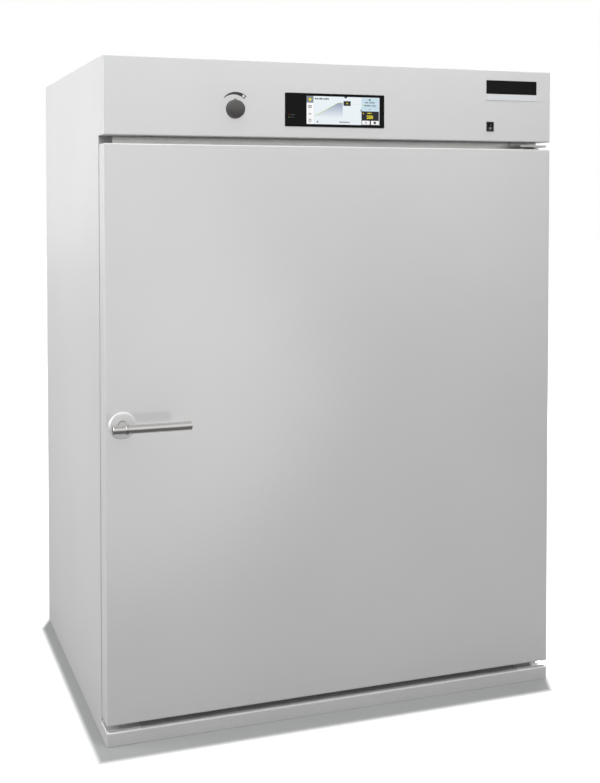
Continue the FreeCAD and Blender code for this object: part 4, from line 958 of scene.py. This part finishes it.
print("rocker marks on faces", round(math.degrees(ROCKER_LEAN)), "degrees apart")

# %% [markdown]
# ## The wire shelves
# The frame draws each wire with eight flat sides. Up close a drawn and polished wire is round, and the
# highlight that runs along it shows that at once, so each shelf is laid again in round wire: a heavy
# frame, twenty thin wires across it and two bars below them, all inside the frame part's box.

# %% One round bar
END_EASE = 0.3


def add_rod(build, start, end, radius, sides=16):
    """Adds one round bar along X or Y, with its ends eased, to a growing mesh."""
    way = (end - start).normalized()
    side = Vector((way.y, way.x, 0))
    ease = radius * END_EASE
    stations = [(start, radius - ease), (start + way * ease, radius), (end - way * ease, radius),
                (end, radius - ease)]
    rings = []
    for spot, size in stations:
        turns = [2 * math.pi * step / sides for step in range(sides)]
        rings.append([build.verts.new(spot + side * (size * math.cos(turn))
                                      + Vector((0, 0, size * math.sin(turn)))) for turn in turns])
    for first, second in zip(rings, rings[1:]):
        for step in range(sides):
            after = (step + 1) % sides
            build.faces.new((first[step], first[after], second[after], second[step]))
    build.faces.new(rings[0])
    build.faces.new(rings[-1][::-1])


print("bar ends are eased by", END_EASE, "of their radius")

# %% [markdown]
# All bars of a shelf grow in one mesh. The first numbers are the radii of the three kinds of wire,
# and every place follows from them and from the frame part's box.

# %% Shelves
FRAME_WIRE = 3.0 * MM
THIN_WIRE = 1.6 * MM
CROSS_BAR = 2.5 * MM
WELD_GAP = 0.02 * MM
WIRE_COUNT = 20


def wire_shelf(name, low, high):
    half = high.x - FRAME_WIRE
    inner = half - FRAME_WIRE
    frame_z = low.z + FRAME_WIRE
    wire_z = high.z - THIN_WIRE
    bar_z = wire_z - THIN_WIRE - CROSS_BAR - WELD_GAP
    build = bmesh.new()
    for x in (-half, half):
        add_rod(build, Vector((x, low.y, frame_z)), Vector((x, high.y, frame_z)), FRAME_WIRE)
    for y in (low.y + FRAME_WIRE, high.y - FRAME_WIRE):
        add_rod(build, Vector((-inner, y, frame_z)), Vector((inner, y, frame_z)), FRAME_WIRE)
    for index in range(WIRE_COUNT):
        x = -half + (index + 1) * 2 * half / (WIRE_COUNT + 1)
        add_rod(build, Vector((x, low.y, wire_z)), Vector((x, high.y, wire_z)), THIN_WIRE, 12)
    for share in (1, 2):
        y = low.y + share * (high.y - low.y) / 3
        add_rod(build, Vector((-inner, y, bar_z)), Vector((inner, y, bar_z)), CROSS_BAR)
    bmesh.ops.recalc_face_normals(build, faces=build.faces)
    return mesh_piece(name, build)


for level in ("lower", "middle", "upper"):
    node = "shelf_grid_" + level
    shelf = seat(wire_shelf("wire_shelf_" + level, *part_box(node)), SLOT_FINISH["stainless_wire"],
                 "shelf_" + level)
    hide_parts(node)
print("shelves laid in round wire: 3, each of", WIRE_COUNT, "thin wires")

# %% [markdown]
# ## Camera
# The photograph was taken close to the oven, from the left of its front, with the camera nearly
# level. A level camera keeps upright edges parallel, and moving the lens up or down inside the camera,
# which Blender calls shift, brings the object into the picture. A small shift and a tilt of under two
# degrees share that work here. The lens is given in pixels of the photograph, and the sensor's width
# over the photograph's long side turns it into millimetres.

# %% Camera
SENSOR_MM = 36.0
IMAGE_LONG_SIDE = 783
FOCAL_PX = 1199.8
TILT_DEG = 1.872
TURN_DEG = 20.103
camera_data = bpy.data.cameras.new("photo_camera")
camera_data.sensor_width = SENSOR_MM
camera_data.lens = camera_data.sensor_width * FOCAL_PX / IMAGE_LONG_SIDE
camera_data.shift_y = -0.20
camera_data.clip_start = 0.05
camera_data.clip_end = 100.0
camera = bpy.data.objects.new("photo_camera", camera_data)
camera.location = (-0.9825, -2.8191, 1.1345)
camera.rotation_euler = (math.radians(90 - TILT_DEG), 0.0, math.radians(-TURN_DEG))
bpy.context.scene.collection.objects.link(camera)
bpy.context.scene.camera = camera
print("lens", round(camera_data.lens, 2), "mm")

# %% [markdown]
# ## Studio
# A pale floor lies under a white surround. The floor glows a little, but only for what the camera
# sees directly, so it turns white in the picture and stays a grey floor in reflections. The glow is
# left out where the oven shades the floor, and the material works out that place from the outline of
# the base. A sum in a material is a node, so two helpers write one in a single line.

# %% Sums in a node graph
def maths(graph, operation, *values):
    """One sum of one or two values, each a plain number or the output of another node."""
    node = graph.nodes.new("ShaderNodeMath")
    node.operation = operation
    for socket, value in zip(node.inputs, values):
        if isinstance(value, (int, float)):
            socket.default_value = value
        else:
            graph.links.new(value, socket)
    return node.outputs[0]


def remap(graph, value, low, high, to_low, to_high):
    """Moves a value softly from one range to another."""
    node = graph.nodes.new("ShaderNodeMapRange")
    node.interpolation_type = "SMOOTHSTEP"
    node.inputs["From Min"].default_value = low
    node.inputs["From Max"].default_value = high
    node.inputs["To Min"].default_value = to_low
    node.inputs["To Max"].default_value = to_high
    graph.links.new(value, node.inputs["Value"])
    return node.outputs["Result"]


print("base outline", round(2 * half_width, 3), "by", round(-2 * front_y, 3), "m")

# %% [markdown]
# The photograph shows a narrow dark band on the floor, left of the base and in front of it. Here the
# band is the base's own outline, slid a little that way: a floor point is in it while it lies inside
# what the outline sweeps as it slides. The edges are soft. All of it is worked out from the point's
# own place, so the band stays put whichever side the oven is seen from.

# %% Band of shadow beside the base
SHADOW_LEFT = 0.0275
SHADOW_FRONT = 0.0655
LEFT_SOFTNESS = 0.009
FRONT_SOFTNESS = 0.014
RIGHT_EDGE = (-0.008, 0.010)
BACK_EDGE = (-0.02, 0.02)


def beyond_base(graph):
    """How far a floor point lies left of the base, in front of it, right of it and behind it."""
    place = graph.nodes.new("ShaderNodeTexCoord")
    split = graph.nodes.new("ShaderNodeSeparateXYZ")
    graph.links.new(place.outputs["Object"], split.inputs["Vector"])
    across = split.outputs["X"]
    along = split.outputs["Y"]
    left = maths(graph, "SUBTRACT", maths(graph, "MULTIPLY", across, -1.0), half_width)
    front = maths(graph, "SUBTRACT", front_y, along)
    right = maths(graph, "SUBTRACT", across, half_width)
    back = maths(graph, "ADD", along, front_y)
    return left, front, right, back


def straight_distance(graph, left, front, right, back):
    """The shortest way from a floor point to the base's outline, and 0 below the base."""
    sideways = maths(graph, "MAXIMUM", maths(graph, "MAXIMUM", left, right), 0.0)
    lengthways = maths(graph, "MAXIMUM", maths(graph, "MAXIMUM", front, back), 0.0)
    squares = [maths(graph, "POWER", value, 2.0) for value in (sideways, lengthways)]
    return maths(graph, "SQRT", maths(graph, "ADD", *squares))


def outside_shadow(graph, left, front, right, back):
    """0 inside what the base's outline sweeps on its way to the shadow's place, 1 outside."""
    slant = SHADOW_LEFT / SHADOW_FRONT
    slid_left = maths(graph, "MULTIPLY", maths(graph, "MAXIMUM", front, 0.0), slant)
    slid_front = maths(graph, "MULTIPLY", maths(graph, "MAXIMUM", left, 0.0), 1 / slant)
    edges = ((left, SHADOW_LEFT - LEFT_SOFTNESS, SHADOW_LEFT + LEFT_SOFTNESS),
             (front, SHADOW_FRONT - FRONT_SOFTNESS, SHADOW_FRONT + FRONT_SOFTNESS),
             (maths(graph, "ADD", right, slid_left), *RIGHT_EDGE),
             (maths(graph, "ADD", back, slid_front), *BACK_EDGE))
    outside = 0.0
    for distance, inner, outer in edges:
        outside = maths(graph, "MAXIMUM", outside, remap(graph, distance, inner, outer, 0.0, 1.0))
    return outside


print("band reaches", round(SHADOW_LEFT / MM, 1), "mm to the left")
print("and", round(SHADOW_FRONT / MM, 1), "mm to the front")

# %% [markdown]
# The floor adds two shaders, a matt grey that takes light and the glow, and both are a little weaker
# close to the base: painted shade, where the heavy base keeps light off the floor. In mirrored views
# the grey is darker still, so the bar's lower side reads as steel over a floor.

# %% Floor
MIRROR_LOSS = 0.72
GREY_NEAR = 0.36
GREY_FAR = 0.5
GLOW_NEAR = 0.82
GLOW_FAR = 1.0


def white_floor():
    material = bpy.data.materials.new("studio_floor")
    material.use_nodes = True
    graph = material.node_tree
    graph.nodes.clear()
    result = graph.nodes.new("ShaderNodeOutputMaterial")
    matt = graph.nodes.new("ShaderNodeBsdfDiffuse")
    glow = graph.nodes.new("ShaderNodeEmission")
    total = graph.nodes.new("ShaderNodeAddShader")
    path = graph.nodes.new("ShaderNodeLightPath")
    beyond = beyond_base(graph)
    distance = straight_distance(graph, *beyond)
    # Painted shade: the grey and the glow are weaker near the base, as if the base kept light off the
    # floor.
    grey = remap(graph, distance, 0.05, 0.12, GREY_NEAR, GREY_FAR)
    mirrored = maths(graph, "MULTIPLY", path.outputs["Is Glossy Ray"], MIRROR_LOSS)
    grey = maths(graph, "MULTIPLY", grey, maths(graph, "SUBTRACT", 1.0, mirrored))
    graph.links.new(grey, matt.inputs["Color"])
    near_far = remap(graph, distance, 0.3, 1.6, GLOW_NEAR, GLOW_FAR)
    strength = maths(graph, "MULTIPLY", outside_shadow(graph, *beyond), near_far)
    strength = maths(graph, "MULTIPLY", strength, path.outputs["Is Camera Ray"])
    graph.links.new(strength, glow.inputs["Strength"])
    graph.links.new(matt.outputs[0], total.inputs[0])
    graph.links.new(glow.outputs[0], total.inputs[1])
    graph.links.new(total.outputs[0], result.inputs["Surface"])
    return material


floor_build = bmesh.new()
bmesh.ops.create_grid(floor_build, x_segments=1, y_segments=1, size=20.0)
floor = mesh_piece("studio_floor", floor_build)
floor.location.z = -0.5 * MM
floor.data.materials.append(white_floor())
print("floor of", round(floor.dimensions.x), "m")

# %% [markdown]
# The surround is white for what the camera sees directly, for what a surface mirrors and for what
# glass lets through. As a source of light it is much dimmer, so that the lamps shape the oven. In
# mirrored views it also dims towards the zenith, like a studio's ceiling.

# %% White surround
AMBIENT = 0.25


def white_world(ambient):
    world = bpy.data.worlds.new("studio_world")
    bpy.context.scene.world = world
    world.use_nodes = True
    graph = world.node_tree
    background = graph.nodes["Background"]
    path = graph.nodes.new("ShaderNodeLightPath")
    direction = graph.nodes.new("ShaderNodeTexCoord")
    split = graph.nodes.new("ShaderNodeSeparateXYZ")
    graph.links.new(direction.outputs["Generated"], split.inputs["Vector"])
    ceiling = remap(graph, split.outputs["Z"], 0.75, 0.98, 1.0, 0.3)
    mirrored = maths(graph, "MULTIPLY", path.outputs["Is Glossy Ray"], ceiling)
    seen = maths(graph, "MAXIMUM", path.outputs["Is Camera Ray"], mirrored)
    seen = maths(graph, "MAXIMUM", seen, path.outputs["Is Transmission Ray"])
    strength = maths(graph, "ADD", maths(graph, "MULTIPLY", seen, 1.0 - ambient), ambient)
    graph.links.new(strength, background.inputs["Strength"])
    background.inputs["Color"].default_value = (1, 1, 1, 1)


white_world(AMBIENT)
print("surround gives", AMBIENT, "of its white as light")

# %% [markdown]
# ## Lights
# The light falls off from the top left to the lower right of the door, so the key light hangs high
# and near, left of the middle. A second soft light serves the side panel, and a third one behind the
# oven keeps its rear from going dark. A small spot low on the right draws the lever's soft shadow
# above the bar. The key light and the spot are kept out of reflections, so they leave no hot spot on
# paint or steel, and no lamp is seen by the camera itself.

# %% Lamps
LAMP_TINT = (0.985, 1.0, 1.012)


def hang(name, lamp, place, target):
    """Puts a lamp at its place and turns it to its target."""
    light = bpy.data.objects.new(name, lamp)
    light.location = place
    light.rotation_euler = (Vector(target) - Vector(place)).to_track_quat("-Z", "Y").to_euler()
    bpy.context.scene.collection.objects.link(light)
    return light


def soft_light(name, place, target, size, power):
    lamp = bpy.data.lights.new(name, "AREA")
    lamp.shape = "RECTANGLE"
    lamp.size, lamp.size_y = size
    lamp.energy = power
    lamp.color = LAMP_TINT
    return hang(name, lamp, place, target)


def small_spot(name, place, target, radius, cone_deg, power):
    lamp = bpy.data.lights.new(name, "SPOT")
    lamp.shadow_soft_size = radius
    lamp.spot_size = math.radians(cone_deg)
    lamp.spot_blend = 1.0
    lamp.energy = power
    return hang(name, lamp, place, target)


key = soft_light("key_high_left", (-0.38, -1.5, 3.0), (-0.4, -0.4, 1.2), (3.2, 2.6), 91.0)
fill = soft_light("fill_side", (-2.4, 0.2, 1.2), (-0.52, 0.0, 0.9), (1.2, 1.2), 30.0)
spot = small_spot("low_front_right", (0.78, -2.0, 0.22), (-0.54, -0.4, 0.76), 0.08, 30.0, 30.0)
rear = soft_light("rear_right", (2.4, 2.8, 2.2), (0.2, 0.2, 0.8), (2.0, 2.0), 90.0)
for light in (key, spot):
    light.visible_glossy = False
for light in (key, fill, spot, rear):
    light.visible_camera = False

# %% [markdown]
# Blender can keep a light from single pieces, which it calls light linking. The photograph has no
# shadow below the lever or the knob, so the key light shines past them as if they weren't there. It
# also spares the top cover, which lies right under it and would turn plain white from above.

# %% What the key light leaves out
def left_out(name, pieces):
    """A collection that a light reads as everything but these pieces."""
    group = bpy.data.collections.new(name)
    for piece in pieces:
        group.objects.link(piece)
    for entry in group.collection_objects:
        entry.light_linking.link_state = "EXCLUDE"
    return group


shone_past = (grip, neck, collar, rosette, knob)
key.light_linking.blocker_collection = left_out("key_shines_past", shone_past)
key.light_linking.receiver_collection = left_out("key_spares", [frame["nodes"]["top_cover"]])
bpy.context.scene.view_settings.view_transform = "Standard"
print("the key light shines past", len(shone_past), "pieces")
